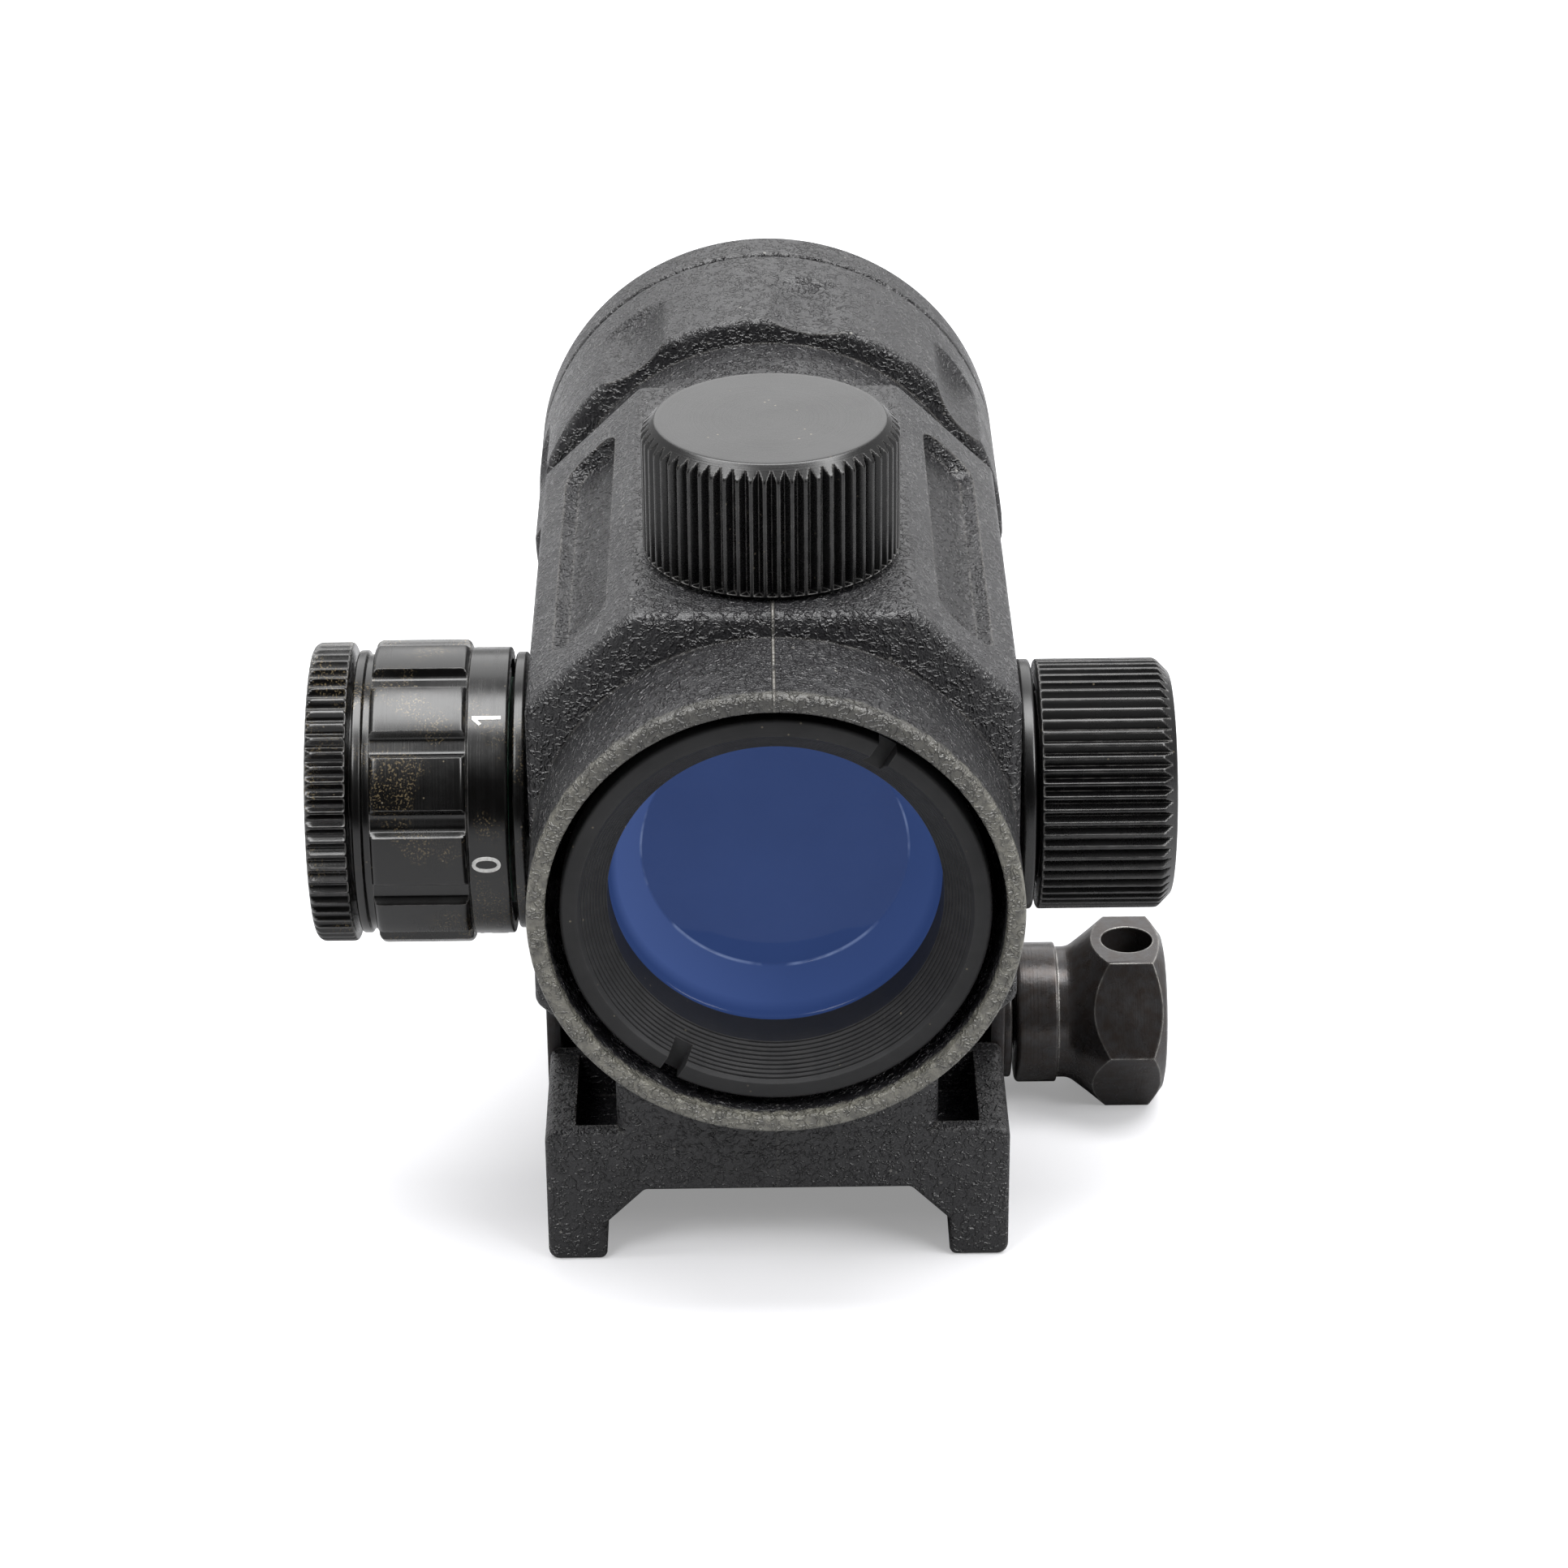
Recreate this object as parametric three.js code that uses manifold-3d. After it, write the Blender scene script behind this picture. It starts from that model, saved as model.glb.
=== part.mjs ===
// Compact dot sight used as a finder: a moulded housing with a rail base, a tilting optic
// tube inside it, two capped adjusters, a brightness dial with its battery, and a rail clamp.
// Millimetres. +Z is up, -Y is the eye end, +X is the clamp nut's side.
// The origin is on the flat that sits on the rail, straight under the two adjusters.
import * as THREE from 'three';
import { mergeVertices } from 'three/addons/utils/BufferGeometryUtils.js';
import Module from 'manifold-3d';

const wasm = await Module();
wasm.setup();

// Fits
const CLEARANCE = 0.3; // between pieces that rest on or turn in one another
const OVERCUT = 1; // how far a cutter runs past the face that it opens
const ROUND = 40; // sides of a large turned piece
const MIDDLE_ROUND = 27; // sides of a middling turned piece
const SMALL_ROUND = 18; // sides of a small turned piece

// Housing
const BORE_RADIUS = 13.6;
const EYE_TUBE_WALL = 1.1;
const EYE_TUBE_LENGTH = 7.7;
const SIDE_WALL = 1.15;
const TOP_WALL = 2.6;
const BLOCK_LENGTH = 35;
const BLOCK_TOP_HALF = 8.4;
const BLOCK_CHAMFER_DROP = 6.1;
const NECK_WALL = 0.9;
const NECK_LENGTH = 11.2;
const BELL_STEP = 1.7;
const BELL_BODY_LENGTH = 12.2;
const BELL_EDGE = 0.6;
const EYE_RIM_EDGE = 0.5;
const FLUTE_COUNT = 8;
const FLUTE_TURN = 10;
const FLUTE_RADIUS = 4.8;
const FLUTE_DEPTH = 0.7;
const FLUTE_LENGTH = 8.6;
const FLUTE_END = 4.6;
const SIDE_POCKET_LENGTH = 27;
const SIDE_POCKET_WIDTH = 4.45;
const SIDE_POCKET_CORNER = 1.6;
const SIDE_POCKET_DEPTH = 0.8;

// Rail base
const SEAT_HALF = 8.35;
const RAIL_HALF = 10.8;
const LEG_THICKNESS = 3.7;
const LEG_DROP = 5.07;
const LEG_EDGE = 0.7;
const BASE_LENGTH = 41.6;
const SHOULDER_HEIGHT = 4.3;
const SHOULDER_LENGTH = 10.4;
const WEB_HALF = 10;
const AXIS_OVER_SEAT = 7.5; // floor of the block above the rail seat
const CORE_WALL = 1.9;
const CORE_DEPTH = 3;
const CORE_END_WALL = 1;

// Bell ring
const HOOD_LENGTH = 3.6;
const HOOD_WALL = 1.7;
const SPIGOT_LENGTH = 1.8;
const SPIGOT_WALL = 1.1;

// Optic tube
const TUBE_GAP = 1.8; // from the tube to the housing's bore
const TUBE_WALL = 0.9;
const TUBE_EYE_INSET = 2.9; // from the eye rim to the tube's end
const TUBE_FAR_INSET = 3.4; // from the bell's far end to the tube's end
const LENS_LIP = 0.9;
const LENS_THICKNESS = 2;
const LENS_BULGE = 0.5;
const RING_FLANGE = 1.8;
const RING_SLEEVE = 2.6;
const RING_GAP = 0.85; // from the retaining rings to the housing's bore
const RING_SLEEVE_WALL = 0.6;
const RING_FACE = 1.15;
const RING_SLOT_WIDTH = 1.2;
const RING_SLOT_DEPTH = 1;
const RING_SLOT_TURN = 31;

// Gimbal
const PIVOT_INTO_BELL = 3.3;
const GIMBAL_WIDTH = 4;
const GIMBAL_WALL = 0.9;
const PIN_RADIUS = 0.9;
const PIN_LENGTH = 1.5;

// Return spring
const SPRING_THICKNESS = 0.4;
const SPRING_HALF_WIDTH = 3;
const SPRING_ARC = 50; // degrees of the bore that it spans

// Adjusters
const TURRET_FROM_FRONT = 9.2;
const CAP_RADIUS = 7.75;
const CAP_HEIGHT = 8.3;
const CAP_EDGE = 0.85;
const CAP_TOP_WALL = 1.2;
const BUSH_RADIUS = 5.9;
const BUSH_STEM_RADIUS = 4.4;
const BUSH_HEIGHT = 4.8;
const BUSH_STEM_INSET = 0.4; // how far the stem stays outside the housing's bore
const BASE_RING_HEIGHT = 0.8;
const ORING_THICKNESS = 0.6;
const SCREW_RADIUS = 3.6;
const SCREW_HEIGHT = 2.9;
const SCREW_SLOT_WIDTH = 1.1;
const SCREW_SLOT_DEPTH = 0.9;
const PLUNGER_RADIUS = 1.5;
const PLUNGER_STEM_RADIUS = 1;

// Brightness dial and battery
const DIAL_FLANGE = 0.7;
const DIAL_FLANGE_RADIUS = 8.6;
const SPINDLE_RADIUS = 3;
const SPINDLE_WALL = 1;
const COLLAR_RADIUS = 8.85;
const COLLAR_LENGTH = 2.5;
const GRIP_RADIUS = 9.35;
const GRIP_LENGTH = 5.8;
const GRIP_EDGE = 0.4;
const GRIP_GROOVES = 12;
const GRIP_GROOVE_HALF = 0.7;
const GRIP_GROOVE_DEPTH = 0.5;
const GRIP_GROOVE_TURN = 15;
const DIAL_LIP_LENGTH = 1.1;
const DIAL_LIP_RADIUS = 8.75;
const DIAL_WALL = 0.7;
const DIAL_WEB = 1;
const BATTERY_RADIUS = 7.7;
const BATTERY_THICKNESS = 2;
const BOARD_RADIUS = 7;
const BOARD_THICKNESS = 0.6;
const WIPER_HALF_WIDTH = 1;
const CLIP_THICKNESS = 0.5;
const CLIP_WIDTH = 1.2;
const CLICK_HALF_WIDTH = 1.5;
const CONTACT_THICKNESS = 0.4;
const CONTACT_INSET = 2; // from the battery's edge to the contact's rim
const BATTERY_CAP_RADIUS = 9.25;
const BATTERY_CAP_HEIGHT = 2.5;
const BATTERY_CAP_BOSS = 1.2;
const BATTERY_SEAL_RISE = 0.35; // from the boss's end to its seal

// Rail clamp
const BOLT_RISE = 0.4; // the bolt dips below the seat, into the rail's cross slot
const BOLT_RADIUS = 2.1;
const JAW_THICKNESS = 0.9;
const JAW_STANDOFF = 0.2; // how far the jaw's outer face stands proud of the leg
const JAW_TOP = 8.4;
const JAW_HOOK_REACH = 4.2;
const JAW_HOOK_HEIGHT = 2.6;
const JAW_HOOK_TIP = 0.2;
const WASHER_RADIUS = 4.3;
const WASHER_THICKNESS = 0.6;
const NUT_COLLAR_RADIUS = 4.65;
const NUT_COLLAR_LENGTH = 3;
const NUT_NECK_LENGTH = 1.9;
const NUT_NECK_RADIUS = 3.9;
const NUT_HEX_LENGTH = 5;
const NUT_HEX_ACROSS = 10.9;
const NUT_HEX_EDGE = 0.6;
const NUT_TOMMY_RADIUS = 1.7;

// Emitter
const LED_SETBACK = 6;
const LED_HOLDER_WIDTH = 6;
const LED_HOLDER_LENGTH = 5;
const LED_HOLDER_HEIGHT = 2.6;
const LED_RADIUS = 0.8;
const LED_LENGTH = 1.2;
const LEAD_RADIUS = 0.35;
const LEAD_BENDS = 6; // points round the lead's curve

// Places worked out from the sizes above
const TURRET = 0;
const FRONT = TURRET - TURRET_FROM_FRONT;
const BASE_END = FRONT + BASE_LENGTH;
const BOLT = FRONT + BASE_LENGTH / 2;
const EYE_RIM = FRONT - EYE_TUBE_LENGTH;
const BLOCK_END = FRONT + BLOCK_LENGTH;
const BELL_START = BLOCK_END + NECK_LENGTH;
const BELL_BODY_END = BELL_START + BELL_BODY_LENGTH;
const FAR_END = BELL_BODY_END + CLEARANCE + HOOD_LENGTH;
const BLOCK_HALF_WIDTH = BORE_RADIUS + SIDE_WALL;
const BLOCK_HALF_HEIGHT = BORE_RADIUS + TOP_WALL;
const AXIS_HEIGHT = AXIS_OVER_SEAT + BLOCK_HALF_HEIGHT;
const EYE_TUBE_RADIUS = BORE_RADIUS + EYE_TUBE_WALL;
const NECK_RADIUS = BORE_RADIUS + NECK_WALL;
const BELL_RADIUS = NECK_RADIUS + BELL_STEP;
const BASE_HALF = RAIL_HALF + LEG_THICKNESS;
const TUBE_RADIUS = BORE_RADIUS - TUBE_GAP;
const TUBE_BORE = TUBE_RADIUS - TUBE_WALL;
const LENS_RADIUS = TUBE_BORE - CLEARANCE;
const CLEAR_RADIUS = TUBE_BORE - LENS_LIP;
const RING_RADIUS = BORE_RADIUS - RING_GAP;
const TUBE_START = EYE_RIM + TUBE_EYE_INSET;
const TUBE_END = FAR_END - TUBE_FAR_INSET;
const PIVOT = BELL_START + PIVOT_INTO_BELL;
const BUSH_BORE = SCREW_RADIUS + CLEARANCE;
const JAW_FRONT = FRONT + SHOULDER_LENGTH + CLEARANCE;
const JAW_BACK = BASE_END - SHOULDER_LENGTH - CLEARANCE;

const FINISH = {
  moulded: { color: 0x2b2a2e, roughness: 0.62, metalness: 0 },
  anodised: { color: 0x161618, roughness: 0.35, metalness: 0.6 },
  matteTube: { color: 0x1a1a1c, roughness: 0.8, metalness: 0.2 },
  blueGlass: { color: 0x324677, roughness: 0.05, metalness: 0 },
  clearGlass: { color: 0xb9c6d6, roughness: 0.05, metalness: 0 },
  blackSteel: { color: 0x2c2b30, roughness: 0.45, metalness: 0.8 },
  springSteel: { color: 0x9a9ca0, roughness: 0.35, metalness: 0.9 },
  brass: { color: 0xb5914a, roughness: 0.4, metalness: 0.9 },
  nitrile: { color: 0x101010, roughness: 0.7, metalness: 0 },
  board: { color: 0x1f4a35, roughness: 0.5, metalness: 0 },
  cell: { color: 0xb8babd, roughness: 0.3, metalness: 0.9 },
  redLens: { color: 0xa01818, roughness: 0.2, metalness: 0 },
};

// A closed geometry as a solid that can be joined and cut.
function solid(geometry) {
  const bare = geometry.clone();
  bare.deleteAttribute('normal');
  bare.deleteAttribute('uv');
  const merged = mergeVertices(bare, 1e-4);
  const corners = merged.attributes.position;
  const ring = merged.index.array;
  const a = new THREE.Vector3();
  const b = new THREE.Vector3();
  const c = new THREE.Vector3();
  const triangles = [];
  let volume = 0;
  for (let i = 0; i < ring.length; i += 3) {
    const [p, q, r] = [ring[i], ring[i + 1], ring[i + 2]];
    if (p === q || q === r || p === r) continue;
    a.fromBufferAttribute(corners, p);
    b.fromBufferAttribute(corners, q);
    c.fromBufferAttribute(corners, r);
    volume += a.dot(b.cross(c));
    triangles.push([p, q, r]);
  }
  const outward = volume > 0 ? triangles : triangles.map(([p, q, r]) => [p, r, q]);
  return new wasm.Manifold(new wasm.Mesh({
    numProp: 3,
    vertProperties: new Float32Array(corners.array),
    triVerts: new Uint32Array(outward.flat()),
  }));
}

// A named mesh from a solid.
function piece(name, body, finish) {
  const { vertProperties, triVerts } = body.getMesh();
  const geometry = new THREE.BufferGeometry();
  geometry.setAttribute('position', new THREE.BufferAttribute(vertProperties, 3));
  geometry.setIndex(new THREE.BufferAttribute(triVerts, 1));
  geometry.computeVertexNormals();
  const mesh = new THREE.Mesh(geometry, new THREE.MeshStandardMaterial(finish));
  mesh.name = name;
  return mesh;
}

// A profile of [radius, height] pairs turned about +Z.
function turned(profile, sides = ROUND) {
  const points = profile.map(([radius, height]) => new THREE.Vector2(radius, height));
  return solid(new THREE.LatheGeometry(points, sides).rotateX(Math.PI / 2));
}

function rod(radius, from, to, sides = ROUND) {
  return turned([[0, from], [radius, from], [radius, to], [0, to]], sides);
}

function tube(outer, inner, from, to, sides = ROUND) {
  return turned([[inner, from], [outer, from], [outer, to], [inner, to], [inner, from]], sides);
}

function block(xs, ys, zs) {
  const box = new THREE.BoxGeometry(xs[1] - xs[0], ys[1] - ys[0], zs[1] - zs[0]);
  return solid(box.translate((xs[0] + xs[1]) / 2, (ys[0] + ys[1]) / 2, (zs[0] + zs[1]) / 2));
}

// An outline of [x, z] pairs drawn out along Y.
function prism(outline, from, to) {
  const shape = new THREE.Shape(outline.map(([x, z]) => new THREE.Vector2(x, z)));
  const geometry = new THREE.ExtrudeGeometry(shape, { depth: to - from, bevelEnabled: false });
  return solid(geometry.rotateX(Math.PI / 2).translate(0, to, 0));
}

// The same outline on both sides of the middle plane.
function mirrored(right) {
  return [...right, ...right.map(([x, z]) => [-x, z]).reverse()];
}

function alongY(body) {
  return body.rotate([-90, 0, 0]);
}

function alongX(body) {
  return body.rotate([0, 90, 0]);
}

function octagon() {
  const low = BLOCK_HALF_HEIGHT - BLOCK_CHAMFER_DROP;
  return mirrored([
    [BLOCK_TOP_HALF, -BLOCK_HALF_HEIGHT],
    [BLOCK_HALF_WIDTH, -low],
    [BLOCK_HALF_WIDTH, low],
    [BLOCK_TOP_HALF, BLOCK_HALF_HEIGHT],
  ]).map(([x, z]) => [x, z + AXIS_HEIGHT]);
}

// The four tubes of the housing, outside only.
function barrel() {
  return alongY(turned([
    [0, EYE_RIM],
    [EYE_TUBE_RADIUS - EYE_RIM_EDGE, EYE_RIM],
    [EYE_TUBE_RADIUS, EYE_RIM + EYE_RIM_EDGE],
    [EYE_TUBE_RADIUS, FRONT + OVERCUT],
    [NECK_RADIUS, BLOCK_END - OVERCUT],
    [NECK_RADIUS, BELL_START],
    [BELL_RADIUS - BELL_EDGE, BELL_START],
    [BELL_RADIUS, BELL_START + BELL_EDGE],
    [BELL_RADIUS, BELL_BODY_END],
    [BORE_RADIUS + SPIGOT_WALL, BELL_BODY_END],
    [BORE_RADIUS + SPIGOT_WALL, BELL_BODY_END + SPIGOT_LENGTH],
    [0, BELL_BODY_END + SPIGOT_LENGTH],
  ])).translate([0, 0, AXIS_HEIGHT]);
}

// Shallow scoops round the bell, open at its near face and running out towards its far end.
function flutes() {
  const straight = BELL_START + FLUTE_LENGTH - FLUTE_END;
  const lift = FLUTE_RADIUS - FLUTE_DEPTH;
  const scoop = alongY(turned([
    [0, BELL_START - OVERCUT],
    [FLUTE_RADIUS, BELL_START - OVERCUT],
    [FLUTE_RADIUS, straight],
    [lift, BELL_START + FLUTE_LENGTH],
    [0, BELL_START + FLUTE_LENGTH + FLUTE_END],
  ], SMALL_ROUND)).translate([0, 0, BELL_RADIUS + lift]);
  const turns = Array.from({ length: FLUTE_COUNT }, (_, i) => FLUTE_TURN + (360 / FLUTE_COUNT) * i);
  return wasm.Manifold.union(turns.map((turn) => scoop.rotate([0, turn, 0])))
    .translate([0, 0, AXIS_HEIGHT]);
}

// The long shallow panel sunk into one upper chamfer of the block.
function sidePocket(side) {
  const halfWidth = SIDE_POCKET_WIDTH / 2;
  const straight = SIDE_POCKET_LENGTH / 2 - SIDE_POCKET_CORNER;
  const shape = new THREE.Shape();
  shape.moveTo(-halfWidth, -straight);
  shape.absarc(SIDE_POCKET_CORNER - halfWidth, -straight, SIDE_POCKET_CORNER, Math.PI, 1.5 * Math.PI);
  shape.absarc(halfWidth - SIDE_POCKET_CORNER, -straight, SIDE_POCKET_CORNER, 1.5 * Math.PI, 2 * Math.PI);
  shape.absarc(halfWidth - SIDE_POCKET_CORNER, straight, SIDE_POCKET_CORNER, 0, Math.PI / 2);
  shape.absarc(SIDE_POCKET_CORNER - halfWidth, straight, SIDE_POCKET_CORNER, Math.PI / 2, Math.PI);
  const depth = SIDE_POCKET_DEPTH + OVERCUT;
  const cutter = new THREE.ExtrudeGeometry(shape, { depth, bevelEnabled: false, curveSegments: 4 });
  const run = BLOCK_HALF_WIDTH - BLOCK_TOP_HALF;
  const slope = (Math.atan2(BLOCK_CHAMFER_DROP, run) * 180) / Math.PI;
  const middle = [(BLOCK_TOP_HALF + BLOCK_HALF_WIDTH) / 2, BLOCK_HALF_HEIGHT - BLOCK_CHAMFER_DROP / 2];
  return solid(cutter)
    .translate([0, 0, -SIDE_POCKET_DEPTH])
    .rotate([0, side * slope, 0])
    .translate([side * middle[0], FRONT + BLOCK_LENGTH / 2, AXIS_HEIGHT + middle[1]]);
}

// The rail base: two legs with the rail's channel between them, and the web over it.
function railBase() {
  const channelTop = RAIL_HALF - SEAT_HALF;
  const legs = prism(mirrored([
    [SEAT_HALF, 0],
    [RAIL_HALF, -channelTop],
    [RAIL_HALF, -LEG_DROP],
    [BASE_HALF - LEG_EDGE, -LEG_DROP],
    [BASE_HALF, LEG_EDGE - LEG_DROP],
    [BASE_HALF, SHOULDER_HEIGHT - LEG_EDGE],
    [BASE_HALF - LEG_EDGE, SHOULDER_HEIGHT],
  ]), FRONT, BASE_END);
  const webTop = AXIS_OVER_SEAT + BLOCK_CHAMFER_DROP;
  const web = prism(mirrored([
    [WEB_HALF, SHOULDER_HEIGHT - OVERCUT],
    [WEB_HALF, AXIS_OVER_SEAT + OVERCUT],
    [BLOCK_TOP_HALF, webTop],
  ]), FRONT, BASE_END);
  return legs.add(web);
}

// What is cut away from one side of the base: the jaw's gap and the cored shoulder.
function sideCuts(side) {
  const outer = BASE_HALF + OVERCUT;
  const jawGap = block(
    [side > 0 ? WEB_HALF : -outer, side > 0 ? outer : -WEB_HALF],
    [JAW_FRONT - CLEARANCE, JAW_BACK + CLEARANCE],
    [-LEG_DROP - OVERCUT, SHOULDER_HEIGHT + OVERCUT],
  );
  const coreOuter = BASE_HALF - CORE_WALL;
  const core = block(
    [side > 0 ? WEB_HALF : -coreOuter, side > 0 ? coreOuter : -WEB_HALF],
    [CORE_END_WALL, SHOULDER_LENGTH - CORE_END_WALL],
    [SHOULDER_HEIGHT - CORE_DEPTH, SHOULDER_HEIGHT + OVERCUT],
  );
  return jawGap
    .add(core.translate([0, FRONT, 0]))
    .add(core.translate([0, BASE_END - SHOULDER_LENGTH, 0]));
}

function housing() {
  const bore = alongY(rod(BORE_RADIUS, EYE_RIM - OVERCUT, FAR_END + OVERCUT));
  const pinHoles = rod(PIN_RADIUS + CLEARANCE, -BORE_RADIUS - PIN_LENGTH, BORE_RADIUS + PIN_LENGTH,
    SMALL_ROUND).translate([0, PIVOT, 0]);
  const stemHole = BUSH_STEM_RADIUS + CLEARANCE;
  const topHole = rod(stemHole, 0, BLOCK_HALF_HEIGHT + OVERCUT, SMALL_ROUND);
  const rightHole = alongX(rod(stemHole, 0, BLOCK_HALF_WIDTH + OVERCUT, SMALL_ROUND));
  const leftHole = alongX(rod(SPINDLE_RADIUS + CLEARANCE, -BLOCK_HALF_WIDTH - OVERCUT, 0, SMALL_ROUND));
  const turretHoles = topHole.add(rightHole).add(leftHole).translate([0, TURRET, 0]);
  const inside = bore.add(pinHoles).add(turretHoles).translate([0, 0, AXIS_HEIGHT]);
  const boltGroove = alongX(rod(BOLT_RADIUS + CLEARANCE, -BASE_HALF, BASE_HALF, SMALL_ROUND))
    .translate([0, BOLT, BOLT_RISE]);
  const outside = prism(octagon(), FRONT, BLOCK_END).add(barrel()).add(railBase());
  const body = outside
    .subtract(inside)
    .subtract(boltGroove)
    .subtract(flutes())
    .subtract(sidePocket(1).add(sidePocket(-1)))
    .subtract(sideCuts(1).add(sideCuts(-1)));
  return piece('housing', body, FINISH.moulded);
}

// The far hood ring, which slides over the housing's spigot.
function bellRing() {
  const start = BELL_BODY_END + CLEARANCE;
  const spigot = BORE_RADIUS + SPIGOT_WALL + CLEARANCE;
  const hoodBore = BELL_RADIUS - HOOD_WALL;
  const step = BELL_BODY_END + SPIGOT_LENGTH + CLEARANCE;
  return piece('bell_ring', turned([
    [spigot, start],
    [BELL_RADIUS, start],
    [BELL_RADIUS, FAR_END - BELL_EDGE],
    [BELL_RADIUS - BELL_EDGE, FAR_END],
    [hoodBore, FAR_END],
    [hoodBore, step],
    [spigot, step],
    [spigot, start],
  ]), FINISH.moulded);
}

// The optic tube, with a seat for a lens at each end and two pins for the gimbal.
function opticTube() {
  const eyeSeat = TUBE_START + RING_SLEEVE + LENS_THICKNESS + 3 * CLEARANCE;
  const farSeat = TUBE_END - RING_SLEEVE - LENS_THICKNESS - 3 * CLEARANCE;
  const shell = turned([
    [TUBE_BORE, TUBE_START],
    [TUBE_RADIUS, TUBE_START],
    [TUBE_RADIUS, TUBE_END],
    [TUBE_BORE, TUBE_END],
    [TUBE_BORE, farSeat],
    [CLEAR_RADIUS, farSeat],
    [CLEAR_RADIUS, eyeSeat],
    [TUBE_BORE, eyeSeat],
    [TUBE_BORE, TUBE_START],
  ]);
  const pinReach = TUBE_RADIUS + 2 * CLEARANCE + GIMBAL_WALL;
  const pins = alongX(rod(PIN_RADIUS, -pinReach, pinReach, SMALL_ROUND)).translate([0, 0, PIVOT]);
  const opening = rod(CLEAR_RADIUS, PIVOT - GIMBAL_WIDTH, PIVOT + GIMBAL_WIDTH);
  const leadHole = alongX(rod(LEAD_RADIUS + CLEARANCE, -TUBE_RADIUS - OVERCUT, 0, SMALL_ROUND))
    .translate([0, 0, TURRET]);
  return piece('inner_tube', shell.add(pins.subtract(opening)).subtract(leadHole), FINISH.matteTube);
}

// A ring that screws into one end of the optic tube and holds its lens. Its face is at height 0
// and its sleeve runs up +Z. The eye end's ring has a coned mouth and two spanner slots.
function retainingRing(coned) {
  const sleeve = LENS_RADIUS;
  const bore = sleeve - RING_SLEEVE_WALL;
  const mouth = coned ? RING_RADIUS - RING_FACE : bore + RING_SLEEVE_WALL;
  const ring = turned([
    [mouth, 0],
    [RING_RADIUS, 0],
    [RING_RADIUS, RING_FLANGE],
    [sleeve, RING_FLANGE],
    [sleeve, RING_FLANGE + CLEARANCE + RING_SLEEVE],
    [bore, RING_FLANGE + CLEARANCE + RING_SLEEVE],
    [bore, RING_FLANGE + CLEARANCE],
    [mouth, 0],
  ]);
  const half = RING_SLOT_WIDTH / 2;
  const reach = RING_RADIUS + OVERCUT;
  const slot = block([-half, half], [-reach, reach], [-OVERCUT, RING_SLOT_DEPTH])
    .rotate([0, 0, RING_SLOT_TURN]);
  return ring.subtract(slot);
}

// A lens with its edge at the given radius, bulging on its first face.
function lens(radius, thickness) {
  const edge = LENS_BULGE;
  return turned([
    [0, 0],
    [radius / 2, edge / 4],
    [radius, edge],
    [radius, thickness],
    [0, thickness],
  ]);
}

// The ring between the housing and the optic tube that lets the tube tilt both ways.
function gimbalRing() {
  const inner = TUBE_RADIUS + CLEARANCE;
  const outer = inner + GIMBAL_WALL;
  const band = tube(outer, inner, -GIMBAL_WIDTH / 2, GIMBAL_WIDTH / 2);
  const across = alongX(rod(PIN_RADIUS + CLEARANCE, -outer - OVERCUT, outer + OVERCUT, SMALL_ROUND));
  const reach = BORE_RADIUS + PIN_LENGTH - CLEARANCE;
  const pins = rod(PIN_RADIUS, -reach, reach, SMALL_ROUND).rotate([90, 0, 0]);
  const opening = rod((inner + outer) / 2, -GIMBAL_WIDTH, GIMBAL_WIDTH);
  return band.subtract(across).add(pins.subtract(opening));
}

// The block inside the tube's floor that carries the emitter, in the tube's own frame,
// where +Y is down.
function ledHolder() {
  const half = LED_HOLDER_WIDTH / 2;
  const top = CLEAR_RADIUS - CLEARANCE - LED_HOLDER_HEIGHT;
  const start = TURRET - LED_SETBACK;
  return block([-half, half], [top, BORE_RADIUS], [start, start + LED_HOLDER_LENGTH])
    .intersect(rod(CLEAR_RADIUS - CLEARANCE, start - OVERCUT, start + LED_HOLDER_LENGTH + OVERCUT));
}

function led() {
  const start = TURRET - LED_SETBACK + LED_HOLDER_LENGTH + CLEARANCE;
  const height = CLEAR_RADIUS - CLEARANCE - LED_HOLDER_HEIGHT / 2;
  return rod(LED_RADIUS, start, start + LED_LENGTH, SMALL_ROUND).translate([0, height, 0]);
}

// The emitter's lead, from the holder's side round the tube's wall and out by the dial.
function ledLead() {
  const wall = CLEAR_RADIUS - LEAD_RADIUS - CLEARANCE;
  const along = TURRET - LED_SETBACK + LED_HOLDER_LENGTH / 2;
  const start = Math.asin((LED_HOLDER_WIDTH / 2 + 2 * CLEARANCE + LEAD_RADIUS) / wall);
  const points = Array.from({ length: LEAD_BENDS }, (_, i) => {
    const turn = start + (Math.PI / 2 - start) * (i / LEAD_BENDS);
    const drift = along + (TURRET - along) * (i / LEAD_BENDS);
    return new THREE.Vector3(-wall * Math.sin(turn), wall * Math.cos(turn), drift);
  });
  points.push(new THREE.Vector3(-wall + LEAD_RADIUS, LEAD_RADIUS, TURRET));
  points.push(new THREE.Vector3(-TUBE_RADIUS - CLEARANCE, 0, TURRET));
  const section = new THREE.Shape().absarc(0, 0, LEAD_RADIUS, 0, 2 * Math.PI);
  const path = new THREE.CatmullRomCurve3(points);
  const options = { steps: 3 * LEAD_BENDS, extrudePath: path, curveSegments: LEAD_BENDS };
  return solid(new THREE.ExtrudeGeometry(section, options));
}

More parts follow.
